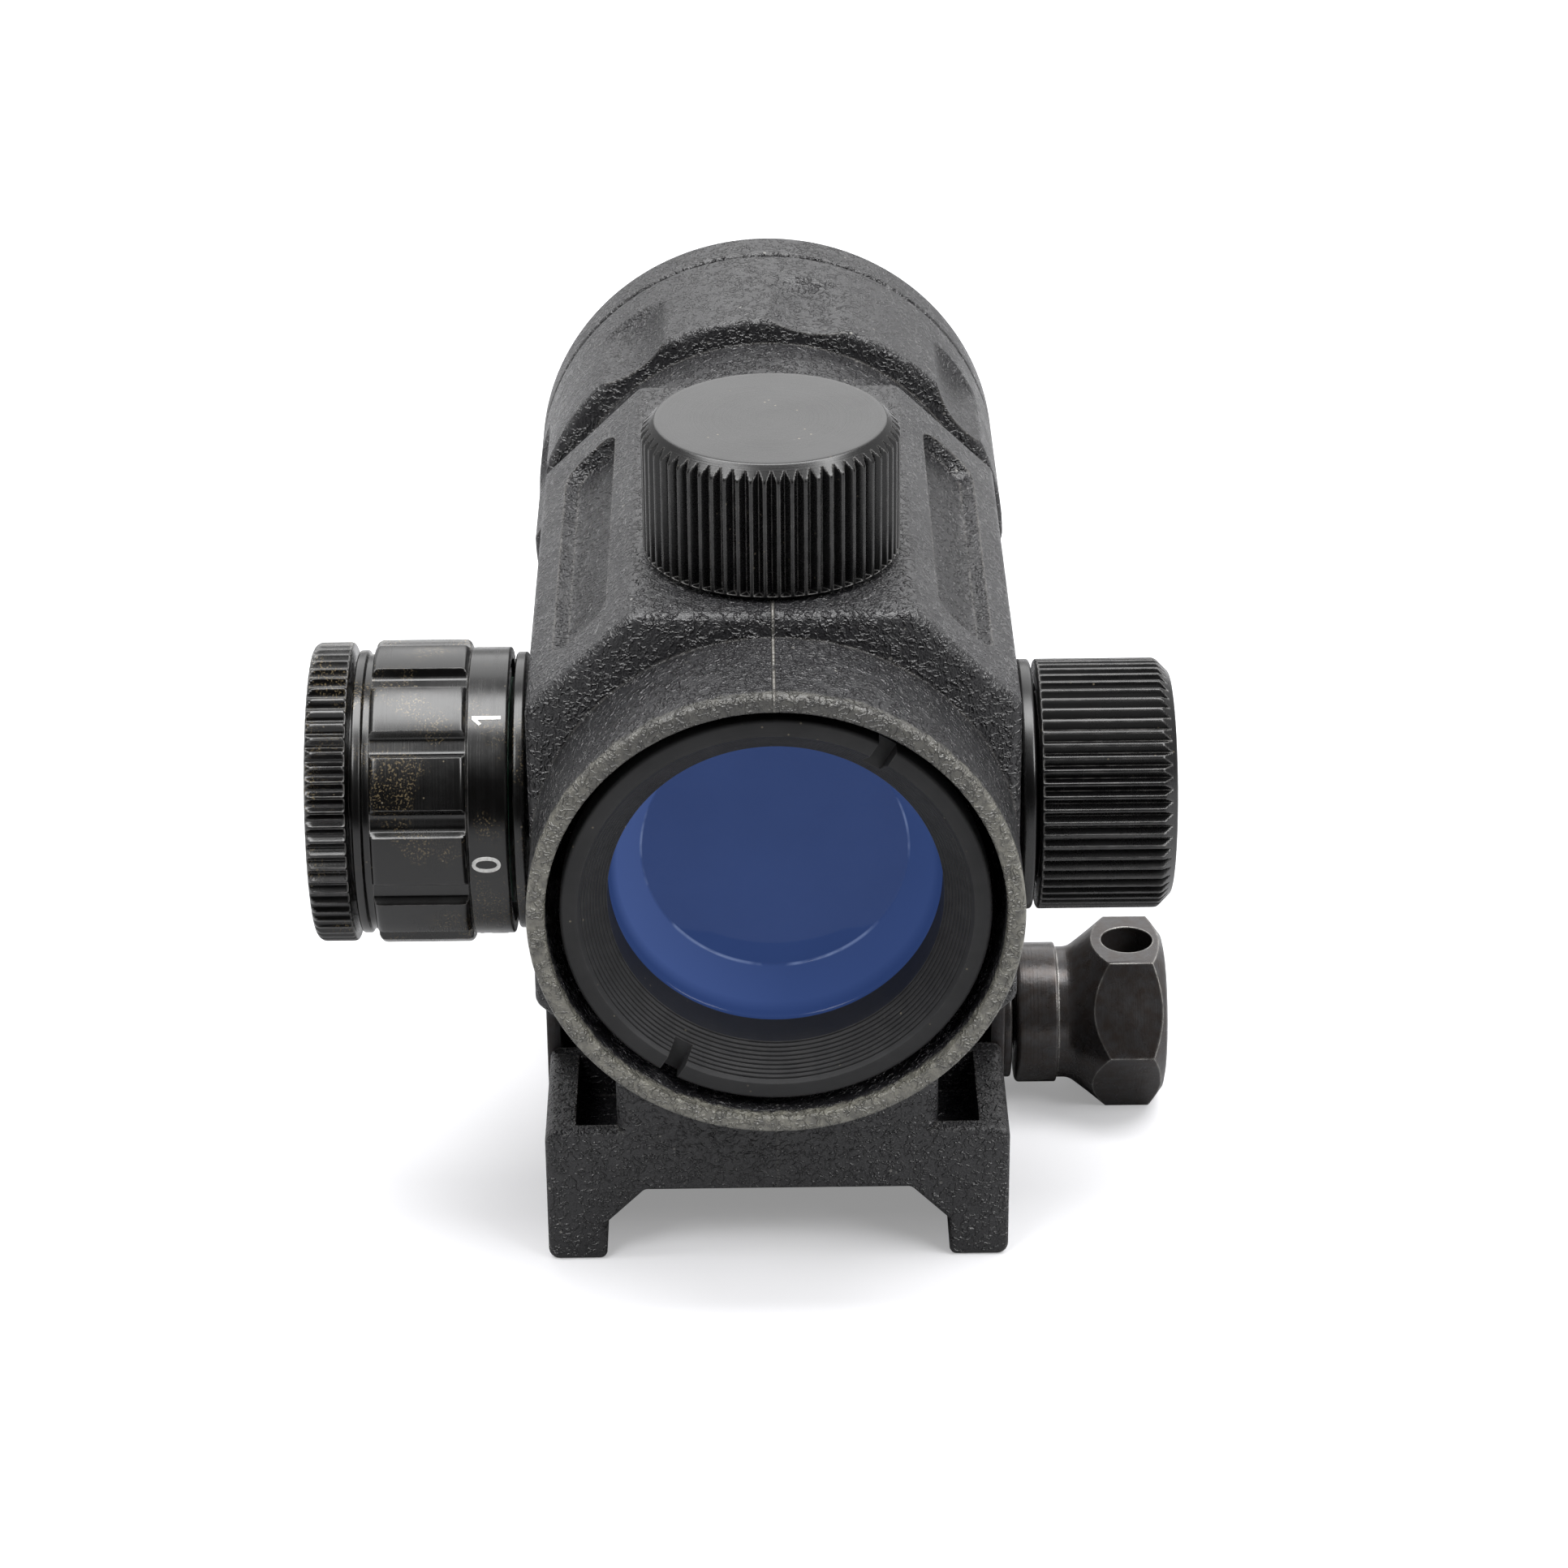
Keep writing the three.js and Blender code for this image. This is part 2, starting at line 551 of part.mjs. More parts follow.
function optics() {
  const group = new THREE.Group();
  group.position.set(0, 0, AXIS_HEIGHT);
  group.rotation.x = -Math.PI / 2;
  const eyeFace = TUBE_START - CLEARANCE - RING_FLANGE;
  const farFace = TUBE_END + CLEARANCE + RING_FLANGE;
  const eyeLens = TUBE_START + RING_SLEEVE + CLEARANCE;
  const farLens = TUBE_END - RING_SLEEVE - CLEARANCE;
  const turnOver = (body) => body.rotate([180, 0, 0]);
  group.add(opticTube());
  group.add(piece('eyepiece_ring', retainingRing(true).translate([0, 0, eyeFace]), FINISH.matteTube));
  group.add(piece('objective_ring', turnOver(retainingRing(false)).translate([0, 0, farFace]),
    FINISH.matteTube));
  group.add(piece('eyepiece_lens', lens(LENS_RADIUS, LENS_THICKNESS).translate([0, 0, eyeLens]),
    FINISH.blueGlass));
  group.add(piece('objective_lens',
    turnOver(lens(LENS_RADIUS, LENS_THICKNESS)).translate([0, 0, farLens]), FINISH.clearGlass));
  group.add(piece('pivot_ring', gimbalRing().translate([0, 0, PIVOT]), FINISH.anodised));
  group.add(piece('led_holder', ledHolder(), FINISH.nitrile));
  group.add(piece('led', led(), FINISH.redLens));
  group.add(piece('led_lead', ledLead(), FINISH.nitrile));
  group.add(piece('return_spring', returnSpring(), FINISH.springSteel));
  return group;
}

// A bowed leaf opposite the two adjusters, which keeps the tube against their plungers.
function returnSpring() {
  const outer = BORE_RADIUS - CLEARANCE;
  const ends = [TURRET - SPRING_HALF_WIDTH, TURRET + SPRING_HALF_WIDTH];
  const arc = tube(outer, outer - SPRING_THICKNESS, ...ends);
  const quarter = block([0, BORE_RADIUS], [0, BORE_RADIUS], ends);
  const trim = (90 - SPRING_ARC) / 2;
  return arc.intersect(quarter.rotate([0, 0, trim])).intersect(quarter.rotate([0, 0, -trim]))
    .rotate([0, 0, 90]);
}

// One adjuster, built along +Z with height 0 on the optical axis. The face is the outer face of
// the housing there, and the base ring is a thin collar under the cap.
function adjuster(name, face, baseRing) {
  const group = new THREE.Group();
  const bushFoot = BORE_RADIUS + BUSH_STEM_INSET;
  const seat = face + CLEARANCE;
  const capFoot = seat + (baseRing > 0 ? baseRing + CLEARANCE : 0);
  const bushTop = capFoot + BUSH_HEIGHT;
  const screwFoot = bushTop - SCREW_HEIGHT / 2;
  const guide = PLUNGER_RADIUS + CLEARANCE;
  const foot = [[BUSH_STEM_RADIUS, bushFoot], [BUSH_STEM_RADIUS, seat]];
  const collar = baseRing > 0
    ? [[CAP_RADIUS, seat], [CAP_RADIUS, seat + baseRing], [BUSH_RADIUS, seat + baseRing]]
    : [[BUSH_RADIUS, seat]];
  const bush = turned([
    [guide, bushFoot],
    ...foot,
    ...collar,
    [BUSH_RADIUS, bushTop],
    [BUSH_BORE, bushTop],
    [BUSH_BORE, screwFoot - CLEARANCE],
    [guide, screwFoot - CLEARANCE],
    [guide, bushFoot],
  ], MIDDLE_ROUND);
  const stemTop = screwFoot + SCREW_HEIGHT / 2;
  const screwHead = turned([
    [PLUNGER_STEM_RADIUS + CLEARANCE, screwFoot],
    [SCREW_RADIUS, screwFoot],
    [SCREW_RADIUS, screwFoot + SCREW_HEIGHT],
    [0, screwFoot + SCREW_HEIGHT],
    [0, stemTop],
    [PLUNGER_STEM_RADIUS + CLEARANCE, stemTop],
    [PLUNGER_STEM_RADIUS + CLEARANCE, screwFoot],
  ], SMALL_ROUND);
  const slotHalf = SCREW_SLOT_WIDTH / 2;
  const slotFloor = screwFoot + SCREW_HEIGHT - SCREW_SLOT_DEPTH;
  const screw = screwHead.subtract(block([-slotHalf, slotHalf], [-BUSH_RADIUS, BUSH_RADIUS],
    [slotFloor, slotFloor + BUSH_RADIUS]));
  const tip = TUBE_RADIUS + CLEARANCE;
  const shoulder = screwFoot - 3 * CLEARANCE;
  const plunger = turned([
    [0, tip],
    [PLUNGER_RADIUS, tip],
    [PLUNGER_RADIUS, shoulder],
    [PLUNGER_STEM_RADIUS, shoulder],
    [PLUNGER_STEM_RADIUS, stemTop - 2 * CLEARANCE],
    [0, stemTop - 2 * CLEARANCE],
  ], SMALL_ROUND);
  const capBore = BUSH_RADIUS + CLEARANCE;
  const ringOuter = capBore + ORING_THICKNESS;
  const ringTop = capFoot + ORING_THICKNESS + CLEARANCE;
  const capTop = capFoot + CAP_HEIGHT;
  const cap = turned([
    [ringOuter + CLEARANCE, capFoot],
    [CAP_RADIUS, capFoot],
    [CAP_RADIUS, capTop - CAP_EDGE],
    [CAP_RADIUS - CAP_EDGE, capTop],
    [0, capTop],
    [0, capTop - CAP_TOP_WALL],
    [capBore, capTop - CAP_TOP_WALL],
    [capBore, ringTop + CLEARANCE],
    [ringOuter + CLEARANCE, ringTop + CLEARANCE],
    [ringOuter + CLEARANCE, capFoot],
  ]);
  const seal = tube(ringOuter, capBore, ringTop - ORING_THICKNESS, ringTop);
  group.add(piece(`${name}_bush`, bush, FINISH.anodised));
  group.add(piece(`${name}_screw`, screw, FINISH.brass));
  group.add(piece(`${name}_plunger`, plunger, FINISH.brass));
  group.add(piece(`${name}_cap`, cap, FINISH.anodised));
  group.add(piece(`${name}_cap_seal`, seal, FINISH.nitrile));
  group.position.set(0, TURRET, AXIS_HEIGHT);
  return group;
}

// The brightness dial and its battery, built along +Z with height 0 on the optical axis.
function brightnessDial() {
  const group = new THREE.Group();
  const flangeFoot = BLOCK_HALF_WIDTH + CLEARANCE;
  const flangeTop = flangeFoot + DIAL_FLANGE;
  const dialFoot = flangeTop + CLEARANCE;
  const gripFoot = dialFoot + COLLAR_LENGTH;
  const gripTop = gripFoot + GRIP_LENGTH;
  const lipTop = gripTop + DIAL_LIP_LENGTH;
  const webFoot = gripFoot + CLEARANCE;
  const webTop = webFoot + DIAL_WEB;
  const clipTop = webTop + CLEARANCE + CLIP_THICKNESS;
  const wellRadius = BATTERY_RADIUS + CLEARANCE;
  const spindleBore = SPINDLE_RADIUS - SPINDLE_WALL;
  const flange = turned([
    [spindleBore, BORE_RADIUS + BUSH_STEM_INSET],
    [SPINDLE_RADIUS, BORE_RADIUS + BUSH_STEM_INSET],
    [SPINDLE_RADIUS, flangeFoot],
    [DIAL_FLANGE_RADIUS, flangeFoot],
    [DIAL_FLANGE_RADIUS, flangeTop],
    [SPINDLE_RADIUS, flangeTop],
    [SPINDLE_RADIUS, clipTop],
    [spindleBore, clipTop],
    [spindleBore, BORE_RADIUS + BUSH_STEM_INSET],
  ], MIDDLE_ROUND);
  const boardFoot = flangeTop + CLEARANCE;
  const board = tube(BOARD_RADIUS, SPINDLE_RADIUS + CLEARANCE, boardFoot, boardFoot + BOARD_THICKNESS,
    MIDDLE_ROUND);
  const clip = tube(SPINDLE_RADIUS + CLEARANCE + CLIP_WIDTH, SPINDLE_RADIUS + CLEARANCE,
    webTop + CLEARANCE, clipTop, SMALL_ROUND);
  const body = turned([
    [COLLAR_RADIUS - DIAL_WALL, dialFoot],
    [COLLAR_RADIUS, dialFoot],
    [COLLAR_RADIUS, gripFoot],
    [GRIP_RADIUS - GRIP_EDGE, gripFoot],
    [GRIP_RADIUS, gripFoot + GRIP_EDGE],
    [GRIP_RADIUS, gripTop - GRIP_EDGE],
    [GRIP_RADIUS - GRIP_EDGE, gripTop],
    [DIAL_LIP_RADIUS, gripTop],
    [DIAL_LIP_RADIUS, lipTop],
    [wellRadius, lipTop],
    [wellRadius, webTop],
    [SPINDLE_RADIUS + CLEARANCE, webTop],
    [SPINDLE_RADIUS + CLEARANCE, webFoot],
    [COLLAR_RADIUS - DIAL_WALL, webFoot],
    [COLLAR_RADIUS - DIAL_WALL, dialFoot],
  ]);
  const groove = block([-GRIP_GROOVE_HALF, GRIP_GROOVE_HALF],
    [GRIP_RADIUS - GRIP_GROOVE_DEPTH, GRIP_RADIUS + OVERCUT], [gripFoot, gripTop]);
  const grooves = Array.from({ length: GRIP_GROOVES }, (_, i) =>
    groove.rotate([0, 0, GRIP_GROOVE_TURN + (360 / GRIP_GROOVES) * i]));
  const wiper = block([SPINDLE_RADIUS + CLEARANCE, BOARD_RADIUS], [-WIPER_HALF_WIDTH, WIPER_HALF_WIDTH],
    [boardFoot + BOARD_THICKNESS + CLEARANCE, webFoot - CLEARANCE]);
  const cellTop = lipTop - BATTERY_CAP_BOSS - 2 * CLEARANCE;
  const cellFoot = cellTop - BATTERY_THICKNESS;
  const contactFoot = clipTop + CLEARANCE;
  const contactRim = BATTERY_RADIUS - CONTACT_INSET;
  const contact = turned([
    [SPINDLE_RADIUS + CLEARANCE, contactFoot],
    [contactRim, cellFoot - CLEARANCE - CONTACT_THICKNESS],
    [contactRim, cellFoot - CLEARANCE],
    [SPINDLE_RADIUS + CLEARANCE, contactFoot + CONTACT_THICKNESS],
    [SPINDLE_RADIUS + CLEARANCE, contactFoot],
  ], SMALL_ROUND);
  const click = tube(COLLAR_RADIUS - DIAL_WALL - CLEARANCE, BOARD_RADIUS + CLEARANCE, boardFoot,
    boardFoot + COLLAR_LENGTH - 2 * CLEARANCE)
    .intersect(block([0, COLLAR_RADIUS], [-CLICK_HALF_WIDTH, CLICK_HALF_WIDTH], [boardFoot, gripFoot]));
  const capFoot = lipTop + CLEARANCE;
  const capTop = capFoot + BATTERY_CAP_HEIGHT;
  const boss = wellRadius - CLEARANCE;
  const bossFoot = lipTop - BATTERY_CAP_BOSS;
  const neck = boss - ORING_THICKNESS - CLEARANCE;
  const sealFoot = bossFoot + BATTERY_SEAL_RISE;
  const sealTop = sealFoot + ORING_THICKNESS;
  const cap = turned([
    [0, bossFoot],
    [neck, bossFoot],
    [neck, capFoot],
    [BATTERY_CAP_RADIUS, capFoot],
    [BATTERY_CAP_RADIUS, capTop - CAP_EDGE / 2],
    [BATTERY_CAP_RADIUS - CAP_EDGE / 2, capTop],
    [0, capTop],
  ]);
  group.add(piece('rheostat_flange', flange, FINISH.anodised));
  group.add(piece('contact_board', board, FINISH.board));
  group.add(piece('spindle_clip', clip, FINISH.springSteel));
  group.add(piece('click_spring', click, FINISH.springSteel));
  group.add(piece('dial', body.subtract(wasm.Manifold.union(grooves)), FINISH.anodised));
  group.add(piece('dial_wiper', wiper, FINISH.brass));
  group.add(piece('battery_contact', contact, FINISH.brass));
  group.add(piece('battery', rod(BATTERY_RADIUS, cellFoot, cellTop), FINISH.cell));
  group.add(piece('battery_cap', cap, FINISH.anodised));
  group.add(piece('battery_cap_seal', tube(boss, neck + CLEARANCE, sealFoot, sealTop), FINISH.nitrile));
  group.position.set(0, TURRET, AXIS_HEIGHT);
  group.rotation.y = -Math.PI / 2;
  return group;
}

// One clamp jaw: a folded plate with a hook under the rail and a lip against the web.
function jaw(name, side) {
  const outer = BASE_HALF + JAW_STANDOFF;
  const inner = outer - JAW_THICKNESS;
  const bottom = CLEARANCE - LEG_DROP;
  const lip = WEB_HALF + CLEARANCE;
  const profile = [
    [outer, bottom],
    [outer, JAW_TOP],
    [lip, JAW_TOP],
    [lip, JAW_TOP - JAW_THICKNESS],
    [inner, JAW_TOP - JAW_THICKNESS],
    [inner, bottom + JAW_HOOK_HEIGHT],
    [inner - JAW_HOOK_REACH + JAW_HOOK_HEIGHT, bottom + JAW_HOOK_HEIGHT],
    [inner - JAW_HOOK_REACH, bottom + JAW_HOOK_TIP],
    [inner - JAW_HOOK_REACH, bottom],
  ].map(([x, z]) => [side * x, z]);
  const hole = alongX(rod(BOLT_RADIUS + CLEARANCE, -outer - OVERCUT, outer + OVERCUT, SMALL_ROUND))
    .translate([0, BOLT, BOLT_RISE]);
  const plate = prism(profile, JAW_FRONT, JAW_BACK);
  return piece(name, plate.subtract(hole), FINISH.blackSteel);
}

// The bolt across the base with its washer and nut, built along +Z from the middle plane.
function clampHardware() {
  const group = new THREE.Group();
  const jawFace = BASE_HALF + JAW_STANDOFF;
  const washerFoot = jawFace + CLEARANCE;
  const nutFoot = washerFoot + WASHER_THICKNESS + CLEARANCE;
  const neckFoot = nutFoot + NUT_COLLAR_LENGTH;
  const hexFoot = neckFoot + NUT_NECK_LENGTH;
  const nutTop = hexFoot + NUT_HEX_LENGTH;
  const hexCorner = NUT_HEX_ACROSS / 2 / Math.cos(Math.PI / 6);
  const tommyHeight = hexFoot + NUT_HEX_LENGTH / 2;
  const boreTop = tommyHeight - NUT_TOMMY_RADIUS - CLEARANCE;
  const blank = turned([
    [0, nutFoot],
    [NUT_COLLAR_RADIUS, nutFoot],
    [NUT_COLLAR_RADIUS, neckFoot],
    [NUT_NECK_RADIUS, neckFoot + NUT_NECK_LENGTH / 2],
    [NUT_HEX_ACROSS / 2 - NUT_HEX_EDGE, hexFoot],
    [hexCorner, hexFoot + NUT_HEX_EDGE],
    [hexCorner, nutTop - NUT_HEX_EDGE],
    [NUT_HEX_ACROSS / 2 - NUT_HEX_EDGE, nutTop],
    [0, nutTop],
  ]);
  const hexagon = rod(hexCorner, nutFoot - OVERCUT, nutTop + OVERCUT, 6);
  const tommyHole = alongX(rod(NUT_TOMMY_RADIUS, -hexCorner - OVERCUT, hexCorner + OVERCUT, SMALL_ROUND))
    .translate([0, 0, tommyHeight]);
  const nut = blank.intersect(hexagon).subtract(rod(BOLT_RADIUS + CLEARANCE, nutFoot - OVERCUT, boreTop,
    SMALL_ROUND)).subtract(tommyHole);
  const bolt = rod(BOLT_RADIUS, -jawFace, boreTop - CLEARANCE, SMALL_ROUND);
  const washer = tube(WASHER_RADIUS, BOLT_RADIUS + CLEARANCE, washerFoot, washerFoot + WASHER_THICKNESS,
    SMALL_ROUND);
  group.add(piece('cross_bolt', bolt, FINISH.blackSteel));
  group.add(piece('clamp_washer', washer, FINISH.blackSteel));
  group.add(piece('clamp_nut', nut, FINISH.blackSteel));
  group.position.set(0, BOLT, BOLT_RISE);
  group.rotation.y = Math.PI / 2;
  return group;
}

const group = new THREE.Group();
group.add(housing());
const hood = new THREE.Group();
hood.position.set(0, 0, AXIS_HEIGHT);
hood.rotation.x = -Math.PI / 2;
hood.add(bellRing());
group.add(hood);
group.add(optics());
group.add(adjuster('elevation', BLOCK_HALF_HEIGHT, 0));
const windage = adjuster('windage', BLOCK_HALF_WIDTH, BASE_RING_HEIGHT);
windage.rotation.y = Math.PI / 2;
group.add(windage);
group.add(brightnessDial());
group.add(jaw('moving_jaw', 1));
group.add(jaw('fixed_jaw', -1));
group.add(clampHardware());

export default group;
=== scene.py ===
import math

import bmesh
import bpy
from mathutils import Matrix, Vector


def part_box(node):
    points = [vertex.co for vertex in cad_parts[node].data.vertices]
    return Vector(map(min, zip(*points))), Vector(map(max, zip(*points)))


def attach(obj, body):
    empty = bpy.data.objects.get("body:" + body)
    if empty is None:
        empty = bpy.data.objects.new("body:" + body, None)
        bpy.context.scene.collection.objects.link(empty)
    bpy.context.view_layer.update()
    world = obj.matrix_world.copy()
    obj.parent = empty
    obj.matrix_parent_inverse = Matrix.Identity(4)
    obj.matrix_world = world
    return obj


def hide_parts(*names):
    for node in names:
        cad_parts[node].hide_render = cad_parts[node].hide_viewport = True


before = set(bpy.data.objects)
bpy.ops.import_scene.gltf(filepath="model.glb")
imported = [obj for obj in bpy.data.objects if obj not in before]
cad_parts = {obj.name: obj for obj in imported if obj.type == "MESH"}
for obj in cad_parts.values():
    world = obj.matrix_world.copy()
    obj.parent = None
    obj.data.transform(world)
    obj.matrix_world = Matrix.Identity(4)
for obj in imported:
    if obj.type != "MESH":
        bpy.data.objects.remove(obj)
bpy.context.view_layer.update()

# ---------------------------------------------------------------------------
# Camera
# The sight is seen from its eye end and from well above, through a long lens
# that leans to one side by less than half a degree.
# ---------------------------------------------------------------------------
MM = 0.001

camera_place = Vector((-1.07, -245.0, 152.5)) * MM
camera_elevation = math.radians(27.7)
camera_azimuth = math.radians(-0.4)
camera_roll = math.radians(-0.47)

towards = Vector((
    math.sin(camera_azimuth) * math.cos(camera_elevation),
    -math.cos(camera_azimuth) * math.cos(camera_elevation),
    math.sin(camera_elevation),
))
level = Vector((math.cos(camera_azimuth), math.sin(camera_azimuth), 0))
upright = towards.cross(level)
across = level * math.cos(camera_roll) + upright * math.sin(camera_roll)
upwards = upright * math.cos(camera_roll) - level * math.sin(camera_roll)

optics = bpy.data.cameras.new("camera")
optics.lens = 102.5
optics.sensor_width = 36
optics.clip_start = 0.01
camera = bpy.data.objects.new("camera", optics)
camera.matrix_world = (
    Matrix.Translation(camera_place) @ Matrix((across, upwards, towards)).transposed().to_4x4()
)
bpy.context.scene.collection.objects.link(camera)
bpy.context.scene.camera = camera

# ---------------------------------------------------------------------------
# Housing
# One moulding in glass-filled nylon: rail base, eight-sided block, eye tube,
# neck and fluted bell. The tool leaves a leathery grain and a parting line.
# ---------------------------------------------------------------------------


def corners(node):
    """The lowest and highest corner of a CAD node, in millimetres."""
    low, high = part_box(node)
    return Vector(low) / MM, Vector(high) / MM


def rounded(points, steps=5):
    """An outline with its corners rounded: a point is (a, b), or (a, b, radius)."""
    path = []
    for i, (a, b, *radius) in enumerate(points):
        corner = Vector((a, b))
        if not radius:
            path.append(corner)
            continue
        back = Vector(points[i - 1][:2]) - corner
        on = Vector(points[(i + 1) % len(points)][:2]) - corner
        half = back.angle(on) / 2
        reach = min(radius[0] / math.tan(half), 0.49 * back.length, 0.49 * on.length)
        inward = (back.normalized() + on.normalized()).normalized()
        centre = corner + inward * (reach / math.cos(half))
        start = corner + back.normalized() * reach - centre
        end = corner + on.normalized() * reach - centre
        turn = start.angle_signed(end)
        for step in range(steps + 1):
            path.append(centre + Matrix.Rotation(-turn * step / steps, 2) @ start)
    return path


def stepped(path, step):
    """The same outline with no stretch longer than the step."""
    finer = []
    for start, end in zip(path, path[1:]):
        pieces = max(1, math.ceil((end - start).length / step))
        finer += [start.lerp(end, k / pieces) for k in range(pieces)]
    return finer + [path[-1]]


def put(form, name):
    """A new object from a bmesh, its faces pointing out."""
    bmesh.ops.recalc_face_normals(form, faces=form.faces)
    mesh = bpy.data.meshes.new(name)
    form.to_mesh(mesh)
    form.free()
    made = bpy.data.objects.new(name, mesh)
    bpy.context.scene.collection.objects.link(made)
    return made


def turned(name, path, sides=240):
    """A body turned about +Z. Its path runs from axis to axis, or closes on itself as a ring."""
    form = bmesh.new()
    rings = []
    for radius, height in path:
        if radius < 1e-6:
            rings.append([form.verts.new((0, 0, height))])
            continue
        rings.append([])
        for k in range(sides):
            turn = math.tau * k / sides
            rings[-1].append(form.verts.new((radius * math.cos(turn), radius * math.sin(turn), height)))
    is_ring = len(rings[0]) > 1
    for i in range(len(rings) if is_ring else len(rings) - 1):
        near, far = rings[i], rings[(i + 1) % len(rings)]
        for k in range(sides):
            on = k + 1
            loop = [near[k % len(near)], near[on % len(near)], far[on % len(far)], far[k % len(far)]]
            form.faces.new(dict.fromkeys(loop))
    return put(form, name)


def prism(name, outline, low, high, edge=0.0):
    """An outline of (x, z) points drawn out along Y, with its two end edges rounded."""
    form = bmesh.new()
    near = form.faces.new([form.verts.new((x, low, z)) for x, z in outline])
    drawn = bmesh.ops.extrude_face_region(form, geom=[near])["geom"]
    far = [part for part in drawn if isinstance(part, bmesh.types.BMVert)]
    bmesh.ops.translate(form, vec=(0, high - low, 0), verts=far)
    bmesh.ops.recalc_face_normals(form, faces=form.faces)
    if edge:
        rims = [line for line in form.edges if abs(line.verts[0].co.y - line.verts[1].co.y) < 1e-6]
        bmesh.ops.bevel(form, geom=rims, offset=edge, segments=3, profile=0.5, affect="EDGES")
    return put(form, name)


def slab(name, low, high):
    """A block between two corners."""
    outline = [(low[0], low[2]), (high[0], low[2]), (high[0], high[2]), (low[0], high[2])]
    return prism(name, outline, low[1], high[1])


def placed(made, *steps):
    """The object with its mesh turned and moved, the last step first."""
    for step in reversed(steps):
        made.data.transform(step)
    return made


def plain(made):
    """The object with its modifiers turned into plain mesh."""
    bpy.context.view_layer.update()
    mesh = bpy.data.meshes.new_from_object(made.evaluated_get(bpy.context.evaluated_depsgraph_get()))
    made.modifiers.clear()
    made.data = mesh
    return made


def triangles(made):
    """The object with every face cut into triangles."""
    form = bmesh.new()
    form.from_mesh(made.data)
    bmesh.ops.triangulate(form, faces=form.faces)
    form.to_mesh(made.data)
    form.free()


def combined(made, how, *others):
    """The object with others joined to it, cut from it or kept as its limit."""
    for other in others:
        triangles(made)
        triangles(other)
        step = made.modifiers.new(how, "BOOLEAN")
        step.operation = how
        step.solver = "MANIFOLD"
        step.object = other
        plain(made)
        bpy.data.objects.remove(other)
    return made


def joined(made, *others):
    return combined(made, "UNION", *others)


def cut(made, *others):
    return combined(made, "DIFFERENCE", *others)


def along_x(x, y, z):
    """What takes a body turned about +Z to an axis along +X."""
    return Matrix.Translation((x, y, z)) @ Matrix.Rotation(math.radians(90), 4, "Y")


def along_y(x, y, z):
    """What takes a body turned about +Z to an axis along +Y. Its own +Y then points down."""
    return Matrix.Translation((x, y, z)) @ Matrix.Rotation(math.radians(-90), 4, "X")


def hole(radius, low, high):
    """The round plug that cuts a hole along +Z."""
    outline = [Vector(point) for point in ((0, low), (radius, low), (radius, high), (0, high))]
    return turned("hole", outline, 64)


def add_socket(tree, kind, name, default=None, direction="INPUT"):
    made = tree.interface.new_socket(name=name, in_out=direction, socket_type="NodeSocket" + kind)
    if default is not None:
        made.default_value = default


def value_of(tree, operation, *values):
    """A maths node on numbers or sockets."""
    node = tree.nodes.new("ShaderNodeMath")
    node.operation = operation
    for entry, value in zip(node.inputs, values):
        if isinstance(value, (int, float)):
            entry.default_value = value
        else:
            tree.links.new(value, entry)
    return node.outputs[0]


def between(tree, source, start, end):
    """0 where the source is at its start, 1 at its end."""
    node = tree.nodes.new("ShaderNodeMapRange")
    tree.links.new(source, node.inputs["Value"])
    node.inputs["From Min"].default_value = start
    node.inputs["From Max"].default_value = end
    return node.outputs["Result"]


def distance_out(tree, x, y):
    """How far a place is from the axis that it is turned about."""
    squares = [value_of(tree, "MULTIPLY", way, way) for way in (x, y)]
    return value_of(tree, "SQRT", value_of(tree, "ADD", *squares))


